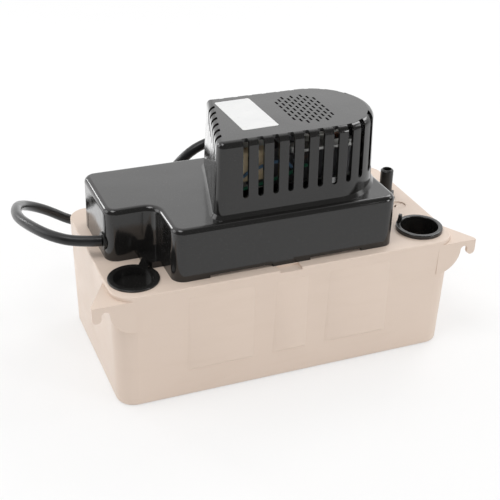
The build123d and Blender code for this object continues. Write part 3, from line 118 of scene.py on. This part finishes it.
# radius and height of each turn, held until the cord crosses over to the next
coil_turns = [(INNER, HIGH), (INNER, LOW), (MIDDLE, LOW), (MIDDLE, HIGH), (OUTER, LOW), (OUTER, HIGH)]
COIL_WINDINGS = 5.25
TURN_STEPS = 16
CROSSING_START = 0.80
ENTRY_LIFT = 5.6 * MM
ENTRY_RUN = 0.12

# the cord comes straight up to the plug's tail, its right end, and ends inside it
plug_low, plug_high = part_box("plug_body")
PLUG_TAIL = Vector((plug_high[0], (plug_low[1] + plug_high[1]) / 2, (plug_low[2] + plug_high[2]) / 2))
PLUG_LEAD_IN, PLUG_DEPTH = 4 * MM, 3 * MM


def coil_points():
    """Points round the coil, which the cord enters from above."""
    points = []
    for step in range(round(COIL_WINDINGS * TURN_STEPS) + 1):
        turn, part = divmod(step, TURN_STEPS)
        part = part / TURN_STEPS
        radius, height = coil_turns[turn]
        if part > CROSSING_START and turn + 1 < len(coil_turns):
            share = (part - CROSSING_START) / (1 - CROSSING_START)
            ease = share * share * (3 - 2 * share)
            next_radius, next_height = coil_turns[turn + 1]
            radius += (next_radius - radius) * ease
            height += (next_height - height) * ease
        if turn == 0:
            height += ENTRY_LIFT * max(0, 1 - part / ENTRY_RUN)
        angle = 2 * math.pi * part
        points.append(COIL_CENTRE + Vector((radius * math.cos(angle), radius * math.sin(angle), height)))
    return points


def make_cord(name, points):
    """The round cord as a NURBS curve through its control points."""
    data = bpy.data.curves.new(name, "CURVE")
    data.dimensions = "3D"
    data.bevel_depth = CORD_RADIUS
    data.bevel_resolution = 5
    data.resolution_u = 6
    data.use_fill_caps = True
    spline = data.splines.new("NURBS")
    spline.points.add(len(points) - 1)
    for point, place in zip(spline.points, points):
        point.co = (*place, 1)
    spline.order_u = 3
    spline.use_endpoint_u = True
    piece = bpy.data.objects.new(name, data)
    bpy.context.collection.objects.link(piece)
    return piece


cord_end = [PLUG_TAIL + Vector((PLUG_LEAD_IN, 0, 0)), PLUG_TAIL - Vector((PLUG_DEPTH, 0, 0))]
power_lead = make_cord("power_lead", cord_route + coil_points() + cord_end)

# ---------------------------------------------------------------- node trees


class Field:
    """A shader socket that takes part in sums."""

    def __init__(self, owner, socket):
        self.owner = owner
        self.socket = socket

    def __add__(self, other):
        return self.owner.maths("ADD", self, other)

    def __radd__(self, other):
        return self.owner.maths("ADD", other, self)

    def __mul__(self, other):
        return self.owner.maths("MULTIPLY", self, other)

    def __rmul__(self, other):
        return self.owner.maths("MULTIPLY", other, self)


class Shading:
    """One node tree and the single way in which nodes are added to it."""

    def __init__(self, tree):
        self.tree = tree

    def node(self, kind, settings=None, inputs=None, output=0):
        """Adds a node, sets and links its inputs, and gives back the output asked for."""
        made = self.tree.nodes.new(kind)
        for key, value in (settings or {}).items():
            setattr(made, key, value)
        for key, value in (inputs or {}).items():
            if isinstance(value, Field):
                self.tree.links.new(value.socket, made.inputs[key])
            else:
                made.inputs[key].default_value = value
        return None if output is None else Field(self, made.outputs[output])

    def maths(self, operation, first, second=0):
        return self.node("ShaderNodeMath", {"operation": operation}, {0: first, 1: second})

    def between(self, value, low, high):
        """value from low to high, as 0 to 1."""
        limits = {"Value": value, "From Min": low, "From Max": high}
        return self.node("ShaderNodeMapRange", {"clamp": True}, limits)

    def split(self, vector, axis):
        """One coordinate of a place or direction."""
        return self.node("ShaderNodeSeparateXYZ", {}, {"Vector": vector}, axis)

    def blend(self, factor, first, second):
        """One colour over another."""
        first = first if isinstance(first, Field) else (*first, 1)
        second = second if isinstance(second, Field) else (*second, 1)
        return self.node("ShaderNodeMix", {"data_type": "RGBA"}, {0: factor, 6: first, 7: second}, 2)

    def by_ray(self, lit, seen, painted_reflection, glow=1):
        """The shader that takes part in the lighting, with others for the camera's rays and, as a painted
        reflection, for glossy rays.
        """
        camera_ray = self.node("ShaderNodeLightPath", output="Is Camera Ray")
        gloss_ray = self.node("ShaderNodeLightPath", output="Is Glossy Ray")
        plain = self.node("ShaderNodeMixShader", {}, {0: camera_ray * glow, 1: lit, 2: seen})
        return self.node("ShaderNodeMixShader", {}, {0: gloss_ray, 1: plain, 2: painted_reflection})


class Look(Shading):
    """One finish: a material with its shader and the nodes that feed it."""

    def __init__(self, name, colour, roughness, **sockets):
        self.material = bpy.data.materials.new(name)
        self.material.use_nodes = True
        super().__init__(self.material.node_tree)
        self.shader = self.tree.nodes["Principled BSDF"]
        self.shader.inputs["Base Color"].default_value = (*colour, 1)
        self.shader.inputs["Roughness"].default_value = roughness
        for socket, value in sockets.items():
            title = socket.replace("_", " ").title().replace("Ior", "IOR")
            self.shader.inputs[title].default_value = value
        self.place = self.node("ShaderNodeTexCoord", output="Object")

    def noise(self, scale, detail, stretch=(1, 1, 1), distortion=0):
        """Noise over the piece, finer for a larger scale."""
        place = self.node("ShaderNodeMapping", {}, {"Vector": self.place, "Scale": stretch})
        grain = {"Vector": place, "Scale": scale, "Detail": detail, "Distortion": distortion}
        return self.node("ShaderNodeTexNoise", {}, grain)

    def patches(self, scale, detail, low, high, **grain):
        """Noise cut down to soft patches: 0 up to low, 1 from high."""
        return self.between(self.noise(scale, detail, **grain), low, high)

    def ripple(self, axis, pitch):
        """A wave along one axis."""
        return self.maths("SINE", self.split(self.place, axis) * (2 * math.pi / pitch))

    def feed(self, socket, value):
        """Drives one socket of the shader."""
        self.tree.links.new(value.socket, self.shader.inputs[socket])

    def bump(self, height, depth, strength=1.0):
        """Relief of that depth in metres."""
        relief = {"Height": height, "Distance": depth, "Strength": strength}
        self.feed("Normal", self.node("ShaderNodeBump", {}, relief, "Normal"))


def shade(colour, factor, lift=0.0):
    """A colour made lighter or darker by a factor, then lifted."""
    return tuple(min(1.0, part * factor + lift) for part in colour)


# ---------------------------------------------------------------- finishes

BEIGE, BEIGE_PALE = (0.700, 0.575, 0.485), (0.735, 0.615, 0.525)
BEIGE_FLOW, BEIGE_SPECK = (0.62, 0.50, 0.40), (0.50, 0.40, 0.32)
BLACK, BLACK_DUST = (0.012, 0.0115, 0.011), (0.12, 0.115, 0.11)
NYLON_BLACK = (0.017, 0.017, 0.0165)
VARNISH, SHEET_EDGE, RUST = (0.05, 0.05, 0.052), (0.20, 0.20, 0.21), (0.16, 0.08, 0.04)
# the first wire colour is painted shade in the grooves between turns, the second is the copper along each turn
WIRE_GROOVE_SHADE, WIRE_RIDGE = (0.12, 0.04, 0.02), (0.50, 0.19, 0.08)
TAPE, TAPE_STAIN = (0.62, 0.50, 0.32), (0.36, 0.25, 0.13)
STOCK, STOCK_DULL, STOCK_SCUFF = (0.72, 0.72, 0.715), (0.66, 0.665, 0.67), (0.48, 0.48, 0.47)

SHEET_PITCH = 0.5 * MM
WINDING_PITCH = 0.698 * MM
WEAVE_PITCH = 0.8976 * MM


def beige_moulding():
    """Warm beige moulded tank plastic: fine spark texture, faint flow marks and handling marks."""
    look = Look("beige_moulding", BEIGE, 0.42, specular_ior_level=0.45)
    drift = look.patches(9, 3, 0.35, 0.7)
    flow = look.patches(26, 4, 0.5, 0.78, stretch=(1, 1, 5), distortion=0.6)
    specks = look.patches(900, 1, 0.74, 0.80)
    rub = look.patches(60, 5, 0.3, 0.75)
    marked = look.blend(flow * 0.18, look.blend(drift * 0.35, BEIGE, BEIGE_PALE), BEIGE_FLOW)
    look.feed("Base Color", look.blend(specks * 0.25, marked, BEIGE_SPECK))
    look.feed("Roughness", 0.36 + rub * 0.14)
    look.bump(look.noise(2600, 2) + look.noise(55, 2) * 0.8, 0.06 * MM)
    return look


def gloss_black(name, roughness):
    """Glossy black moulded cover: soft sink waves, fingerprints and fine dust."""
    look = Look(name, BLACK, roughness, specular_ior_level=0.62)
    smear = look.patches(38, 5, 0.45, 0.75, distortion=1.2)
    dust = look.patches(1500, 2, 0.68, 0.75)
    look.feed("Base Color", look.blend(dust * 0.22, BLACK, BLACK_DUST))
    look.feed("Roughness", roughness + smear * 0.10 + dust * 0.25)
    look.bump(look.noise(30, 1) + look.noise(420, 1) * 0.05, 0.4 * MM, 0.8)
    return look


def satin_black():
    """Satin black nylon with a fine grain."""
    look = Look("satin_black", NYLON_BLACK, 0.32, specular_ior_level=0.5)
    wear = look.patches(120, 4, 0.4, 0.75)
    look.feed("Base Color", look.blend(wear * 0.5, NYLON_BLACK, shade(NYLON_BLACK, 1.9, 0.006)))
    look.feed("Roughness", 0.32 + wear * 0.12)
    look.bump(look.noise(1900, 2), 0.05 * MM)
    return look


def soft_rubber(name, colour, roughness):
    """Soft rubber or vinyl with a faint bloom."""
    look = Look(name, colour, roughness, specular_ior_level=0.4)
    bloom = look.patches(70, 4, 0.4, 0.8)
    look.feed("Base Color", look.blend(bloom * 0.5, colour, shade(colour, 1.8, 0.01)))
    look.feed("Roughness", roughness - 0.06 + bloom * 0.16)
    look.bump(look.noise(1400, 2), 0.05 * MM)
    return look


def plain_plastic(name, colour, roughness=0.4):
    """Dull engineering plastic with a little drift in its colour."""
    look = Look(name, colour, roughness)
    drift = look.patches(45, 4, 0.35, 0.7)
    look.feed("Base Color", look.blend(drift * 0.6, colour, shade(colour, 0.82)))
    look.feed("Roughness", roughness + drift * 0.08)
    look.bump(look.noise(1500, 2), 0.04 * MM)
    return look


def bare_metal(name, colour, roughness, stretch=(1, 1, 1), grain=900):
    """Metal with a directional grain and dull patches."""
    look = Look(name, colour, roughness, metallic=1.0)
    lines = look.noise(grain, 2, stretch)
    dull = look.patches(80, 4, 0.4, 0.75)
    look.feed("Base Color", look.blend(dull * 0.5, colour, shade(colour, 0.6)))
    look.feed("Roughness", roughness + dull * 0.15 + lines * 0.06)
    look.bump(lines, 0.03 * MM)
    return look


def laminated_steel():
    """Stacked sheets with dark varnish between them."""
    look = Look("laminated_steel", (0.11, 0.11, 0.115), 0.42, metallic=0.7)
    sheets = look.ripple("Z", SHEET_PITCH)
    rust = look.patches(160, 5, 0.58, 0.72)
    bright = look.blend(look.between(sheets, 0.2, 0.9), VARNISH, SHEET_EDGE)
    look.feed("Base Color", look.blend(rust * 0.5, bright, RUST))
    look.bump(sheets, 0.06 * MM)
    return look


def wound_copper():
    """Layers of enamelled wire, with painted shade in the grooves between turns."""
    look = Look("wound_copper", (0.42, 0.15, 0.06), 0.28, metallic=0.85)
    turns = look.ripple("X", WINDING_PITCH)
    # painted shade: darker colour in the grooves between the turns
    look.feed("Base Color", look.blend(look.between(turns, -0.6, 0.9), WIRE_GROOVE_SHADE, WIRE_RIDGE))
    look.bump(turns, 0.15 * MM)
    return look


def wrap_paper():
    """Tan insulating tape with a fine weave and varnish stains."""
    look = Look("wrap_paper", (0.58, 0.46, 0.28), 0.6)
    stain = look.patches(90, 4, 0.45, 0.7)
    look.feed("Base Color", look.blend(stain, TAPE, TAPE_STAIN))
    look.bump(look.ripple("X", WEAVE_PITCH) * look.ripple("Z", WEAVE_PITCH), 0.08 * MM)
    return look


def label_paper():
    """Plain white label stock with a faint sheen, scuffed a little."""
    look = Look("label_paper", (0.70, 0.70, 0.695), 0.40, specular_ior_level=0.4)
    drift = look.patches(80, 3, 0.3, 0.7)
    scuff = look.patches(240, 5, 0.60, 0.75, stretch=(1, 3, 1))
    paper = look.blend(drift * 0.5, STOCK, STOCK_DULL)
    look.feed("Base Color", look.blend(scuff * 0.35, paper, STOCK_SCUFF))
    look.feed("Roughness", 0.38 + drift * 0.1)
    look.bump(look.noise(1200, 2), 0.02 * MM)
    return look


def coloured_wire(name, colour):
    """Thin PVC insulation."""
    look = Look(name, colour, 0.35)
    drift = look.patches(200, 2, 0.4, 0.7)
    look.feed("Base Color", look.blend(drift, colour, shade(colour, 1.25)))
    look.bump(look.noise(900, 1), 0.03 * MM)
    return look


slot_looks = {
    "tank_abs": beige_moulding(),
    "black_abs": gloss_black("gloss_black", 0.11),
    "black_nylon": satin_black(),
    "grey_pp": plain_plastic("wet_grey", (0.10, 0.105, 0.11)),
    "laminations": laminated_steel(),
    "copper": wound_copper(),
    "paper": wrap_paper(),
    "white_nylon": plain_plastic("natural_nylon", (0.66, 0.65, 0.60)),
    "zinc_steel": bare_metal("zinc_plate", (0.60, 0.60, 0.58), 0.30),
    "steel_shaft": bare_metal("ground_shaft", (0.50, 0.50, 0.52), 0.18, (1, 1, 30), 300),
    "bronze": bare_metal("sintered_bronze", (0.45, 0.29, 0.13), 0.45),
    "rotor_iron": bare_metal("rotor_steel", (0.30, 0.30, 0.32), 0.38, (1, 1, 12)),
    "epdm": soft_rubber("seal_rubber", (0.02, 0.02, 0.02), 0.6),
    "vinyl_hose": soft_rubber("hose_vinyl", (0.025, 0.025, 0.025), 0.42),
    "nitrile": soft_rubber("ball_rubber", (0.03, 0.028, 0.026), 0.5),
    "switch_phenolic": plain_plastic("switch_phenolic", (0.022, 0.021, 0.02), 0.45),
    "float_foam": plain_plastic("float_foam", (0.78, 0.78, 0.74), 0.7),
    "cord_pvc": soft_rubber("cord_jacket", (0.011, 0.011, 0.0115), 0.34),
    "wire_green": coloured_wire("wire_green", (0.015, 0.10, 0.055)),
    "wire_blue": coloured_wire("wire_blue", (0.07, 0.13, 0.21)),
    "wire_brown": coloured_wire("wire_brown", (0.10, 0.035, 0.015)),
    "plug_brass": bare_metal("pin_brass", (0.62, 0.50, 0.25), 0.25, (12, 1, 1)),
}
inlet_black = gloss_black("inlet_black", 0.16)
own_looks = {
    "inlet_collar": inlet_black,
    "inlet_plug": inlet_black,
    # painted shade: the spacers get a darker copy of the zinc plate, standing in for the shade inside the
    # housing
    "motor_spacers": bare_metal("shaded_zinc_spacer", (0.16, 0.16, 0.155), 0.5),
}

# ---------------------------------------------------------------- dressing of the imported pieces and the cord


def dress(piece, look):
    """Gives a piece one finish."""
    piece.data.materials.clear()
    piece.data.materials.append(look.material)


nodes = frame["nodes"]
slot_of = {row["node"]: row["material_slot"] for row in frame["record"]["subparts"]}
for name, node in nodes.items():
    dress(node, own_looks.get(name, slot_looks[slot_of[name]]))

dress(power_lead, slot_looks["cord_pvc"])
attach(power_lead, "pump_frame")
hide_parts("power_cord", "cord_coil")

# ---------------------------------------------------------------- modelling helpers


def start_clean():
    """Nothing selected, object mode."""
    if bpy.context.object and bpy.context.object.mode != "OBJECT":
        bpy.ops.object.mode_set(mode="OBJECT")
    bpy.ops.object.select_all(action="DESELECT")


def select_edges(piece, wanted):
    """Edit mode with just the edges that wanted(one end, other end) picks."""
    bpy.ops.object.mode_set(mode="EDIT")
    bpy.ops.mesh.select_mode(type="EDGE")
    bpy.ops.mesh.select_all(action="DESELECT")
    bpy.ops.object.mode_set(mode="OBJECT")
    places = [vertex.co for vertex in piece.data.vertices]
    for edge in piece.data.edges:
        edge.select = wanted(*(places[end] for end in edge.vertices))
    bpy.ops.object.mode_set(mode="EDIT")


def settle(piece, name, look):
    start_clean()
    piece.select_set(True)
    bpy.context.view_layer.objects.active = piece
    bpy.ops.object.transform_apply(location=True, rotation=True, scale=True)
    piece.name = name
    piece.data.name = name
    dress(piece, look)
    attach(piece, "pump_frame")


# ---------------------------------------------------------------- raised panels of the tank's long walls

# middle and width of each panel along the wall
PANELS = {"left": (-52.4 * MM, 46 * MM), "middle": (-1.8 * MM, 23 * MM), "right": (48.8 * MM, 46 * MM)}
PANEL_TOP, PANEL_FOOT = 80 * MM, 23.2 * MM
FACE_TAPER = 1.8 * MM

# the panel's back lies inside the wall, wider and lower than its face, so that its sides slope
BACK_FOOT = 18.6 * MM
BACK_TOP_SPREAD, BACK_FOOT_SPREAD = 2.2 * MM, 4.7 * MM

# distances from the tank's middle plane
RIM_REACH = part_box("tank")[1][1]
FACE_REACH = RIM_REACH - 0.11 * MM
BACK_TOP_REACH, BACK_FOOT_REACH = RIM_REACH - 1.2 * MM, RIM_REACH - 3.4 * MM

PANEL_ROUNDING = 0.7 * MM
SMOOTH_ANGLE = math.radians(35)


def raised_panel(name, side, middle, width):
    """An upright panel on the leaning wall: flush at its top, proud at its foot, with sloped sides."""
    start_clean()
    halfway_in = (FACE_REACH + BACK_TOP_REACH) / 2
    halfway_up = (PANEL_TOP + PANEL_FOOT) / 2
    bpy.ops.mesh.primitive_cube_add(
        size=1,
        location=(middle, side * halfway_in, halfway_up),
        scale=(width, FACE_REACH - BACK_TOP_REACH, PANEL_TOP - PANEL_FOOT),
    )
    panel = bpy.context.object
    bpy.ops.object.transform_apply(location=True, rotation=True, scale=True)

    def select_level_edge(at_back, at_top):
        """Edit mode with the one edge along the wall at the back or face, top or foot."""

        def is_there(end):
            return (abs(end.y) < halfway_in) == at_back and (end.z > halfway_up) == at_top

        select_edges(panel, lambda one, other: is_there(one) and is_there(other))

    def widen(by):
        """The selected edge grows by that much at each end."""
        factor = 1 + by / (width / 2)
        bpy.ops.transform.resize(value=(factor, 1, 1), center_override=(middle, 0, 0))

    select_level_edge(at_back=True, at_top=True)
    widen(BACK_TOP_SPREAD)
    select_level_edge(at_back=True, at_top=False)
    widen(BACK_FOOT_SPREAD)
    bpy.ops.transform.translate(value=(0, side * (BACK_FOOT_REACH - BACK_TOP_REACH), BACK_FOOT - PANEL_FOOT))
    select_level_edge(at_back=False, at_top=False)
    widen(-FACE_TAPER)
    bpy.ops.object.mode_set(mode="OBJECT")
    rounding = panel.modifiers.new("rounding", "BEVEL")
    rounding.width = PANEL_ROUNDING
    rounding.segments = 3
    bpy.ops.object.modifier_apply(modifier=rounding.name)
    bpy.ops.object.shade_smooth_by_angle(angle=SMOOTH_ANGLE)
    settle(panel, name, slot_looks["tank_abs"])


for end, (middle, width) in PANELS.items():
    raised_panel("front_panel_" + end, -1, middle, width)
    raised_panel("back_panel_" + end, 1, middle, width)

# ---------------------------------------------------------------- label

LABEL_CENTRE = (-15.7 * MM, -7.5 * MM)
LABEL_SIZE = (25.4 * MM, 50.2 * MM)
LABEL_TURN = math.radians(1.9)
LABEL_THICKNESS = 0.12 * MM
LABEL_CORNER = 1.4 * MM


def rating_label():
    """The bare label on top of the motor housing, stuck on a little askew."""
    start_clean()
    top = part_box("motor_housing")[1][2]
    bpy.ops.mesh.primitive_cube_add(
        size=1,
        location=(*LABEL_CENTRE, top + LABEL_THICKNESS / 2),
        rotation=(0, 0, LABEL_TURN),
        scale=(*LABEL_SIZE, LABEL_THICKNESS),
    )
    label = bpy.context.object
    bpy.ops.object.transform_apply(location=False, rotation=False, scale=True)
    select_edges(label, lambda one, other: abs(one.z - other.z) > LABEL_THICKNESS / 2)
    bpy.ops.mesh.bevel(offset=LABEL_CORNER, segments=5, affect="EDGES")
    bpy.ops.object.mode_set(mode="OBJECT")
    settle(label, "rating_label", label_paper())


rating_label()

# ---------------------------------------------------------------- insulating slip on the stator

SLIP_THICKNESS = 0.7 * MM
SLIP_LEFT, SLIP_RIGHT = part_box("coil_bobbin")[0][0], -8.5 * MM
SLIP_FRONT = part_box("stator_laminations")[0][1] - SLIP_THICKNESS / 2
SLIP_BOTTOM, SLIP_TOP = 143.5 * MM, 163.5 * MM
FOLD_DEPTH = 5 * MM
FOLD_RISE = 0.15 * FOLD_DEPTH
FOLD_ROUNDING = 2.2 * MM


def insulating_slip():
    """The slip of paper that stands in front of the winding and folds back over it."""
    start_clean()
    bpy.ops.mesh.primitive_plane_add(
        size=1,
        location=((SLIP_LEFT + SLIP_RIGHT) / 2, SLIP_FRONT, (SLIP_BOTTOM + SLIP_TOP) / 2),
        rotation=(math.radians(90), 0, 0),
    )
    slip = bpy.context.object
    slip.scale = (SLIP_RIGHT - SLIP_LEFT, SLIP_TOP - SLIP_BOTTOM, 1)
    bpy.ops.object.transform_apply(location=True, rotation=True, scale=True)
    select_edges(slip, lambda one, other: min(one.z, other.z) > SLIP_TOP - MM)
    bpy.ops.mesh.extrude_region_move(TRANSFORM_OT_translate={"value": (0, FOLD_DEPTH, FOLD_RISE)})
    bpy.ops.object.mode_set(mode="OBJECT")
    fold = slip.modifiers.new("rounded fold", "BEVEL")
    fold.width = FOLD_ROUNDING
    fold.segments = 5
    fold.limit_method = "ANGLE"
    wall = slip.modifiers.new("paper thickness", "SOLIDIFY")
    wall.thickness = SLIP_THICKNESS
    wall.offset = 1
    for modifier in (fold.name, wall.name):
        bpy.ops.object.modifier_apply(modifier=modifier)
    settle(slip, "insulating_slip", slot_looks["paper"])


insulating_slip()

# ---------------------------------------------------------------- studio

WHITE = (1, 1, 1, 1)
FLOOR_SIZE = 12
FLOOR_COLOUR = (0.88, 0.88, 0.88, 1)

# share of plain white over the lit floor that the camera sees: least at the pump, all of it far away
FLOOR_GLOW = 0.48
GLOW_RAMP = (0.35, 1.3)

# painted reflection: glossy rays see the floor glowing white, brighter along the bright side towards the back
# left, and the world brighter behind the pump and darker on the camera's side
REFLECTION_BRIGHT_SIDE = Vector((-0.385, 0.923, 0)).normalized()
FLOOR_REFLECTION_RAMP = (-0.05, 0.30)
FLOOR_REFLECTION_FRONT, FLOOR_REFLECTION_BACK = 0.85, 1.6
WORLD_REFLECTION_RAMP = (-0.15, 0.35)
WORLD_REFLECTION_FACING, WORLD_REFLECTION_BEHIND = 0.12, 1.1
WORLD_LIGHT = 0.66

# place, side in metres and watts of each lamp
lamps = {
    "overhead": ((-0.48, -0.20, 1.35), 0.55, 4.6),
    "right": ((1.30, -0.12, 0.88), 0.55, 2.0),
    "key": ((1.00, 0.62, 1.15), 0.60, 4.4),
    "left": ((-1.25, 0.40, 0.75), 0.80, 3.4),
    "front_right": ((1.15, -1.30, 0.60), 0.50, 5.6),
    "back": ((0.65, 1.35, 0.95), 1.20, 1.3),
    "back_left": ((-0.78, 1.25, 0.62), 0.30, 2.6),
}
LAMP_AIM = Vector((0, 0, 0.1))


def make_floor():
    """A pale floor: it keeps soft shadows, and glossy rays see it as a painted reflection, a white glow
    brighter towards the back.
    """
    start_clean()
    bpy.ops.mesh.primitive_plane_add(size=FLOOR_SIZE, location=(0, 0, 0))
    floor = bpy.context.object
    floor.name = "floor"
    material = bpy.data.materials.new("floor_white")
    material.use_nodes = True
    material.node_tree.nodes.clear()
    paint = Shading(material.node_tree)
    place = paint.node("ShaderNodeTexCoord", output="Object")
    along = paint.split(place, "X") * REFLECTION_BRIGHT_SIDE.x + paint.split(place, "Y") * REFLECTION_BRIGHT_SIDE.y
    # painted reflection: the floor's glow for glossy rays, brighter towards the back left
    gloss = FLOOR_REFLECTION_FRONT + paint.between(along, *FLOOR_REFLECTION_RAMP) * (FLOOR_REFLECTION_BACK - FLOOR_REFLECTION_FRONT)
    reach = paint.node("ShaderNodeVectorMath", {"operation": "LENGTH"}, {0: place}, "Value")
    surface = paint.by_ray(
        lit=paint.node("ShaderNodeBsdfDiffuse", {}, {"Color": FLOOR_COLOUR}),
        seen=paint.node("ShaderNodeEmission", {}, {"Color": WHITE, "Strength": 1.0}),
        painted_reflection=paint.node("ShaderNodeEmission", {}, {"Color": WHITE, "Strength": gloss}),
        glow=FLOOR_GLOW + paint.between(reach, *GLOW_RAMP) * (1 - FLOOR_GLOW),
    )
    paint.node("ShaderNodeOutputMaterial", {}, {"Surface": surface}, None)
    floor.data.materials.append(material)


def make_world():
    """An even white world, seen white; glossy rays see a painted reflection of it, darker on the side of the
    camera and brighter behind.
    """
    world = bpy.data.worlds.new("studio")
    bpy.context.scene.world = world
    world.use_nodes = True
    world.node_tree.nodes.clear()
    sky = Shading(world.node_tree)
    heading = sky.node("ShaderNodeTexCoord", output="Generated")
    behind = sky.between(sky.split(heading, "Y"), *WORLD_REFLECTION_RAMP)
    # painted reflection: glossy rays see the world darker on the camera's side and brighter behind the pump
    gloss = WORLD_REFLECTION_FACING + behind * (WORLD_REFLECTION_BEHIND - WORLD_REFLECTION_FACING)
    surface = sky.by_ray(
        lit=sky.node("ShaderNodeBackground", {}, {"Color": WHITE, "Strength": WORLD_LIGHT}),
        seen=sky.node("ShaderNodeBackground", {}, {"Color": WHITE, "Strength": 1.0}),
        painted_reflection=sky.node("ShaderNodeBackground", {}, {"Color": WHITE, "Strength": gloss}),
    )
    sky.node("ShaderNodeOutputWorld", {}, {"Surface": surface}, None)


def soft_lamp(name, place, side, watts):
    """A square soft lamp aimed at the middle of the pump."""
    data = bpy.data.lights.new(name, "AREA")
    data.shape = "SQUARE"
    data.size = side
    data.energy = watts
    lamp = bpy.data.objects.new(name, data)
    bpy.context.collection.objects.link(lamp)
    turn = (LAMP_AIM - Vector(place)).to_track_quat("-Z", "Y")
    lamp.matrix_world = Matrix.Translation(place) @ turn.to_matrix().to_4x4()


make_floor()
make_world()
for name, (place, side, watts) in lamps.items():
    soft_lamp(name, place, side, watts)

bpy.context.scene.view_settings.view_transform = "Standard"
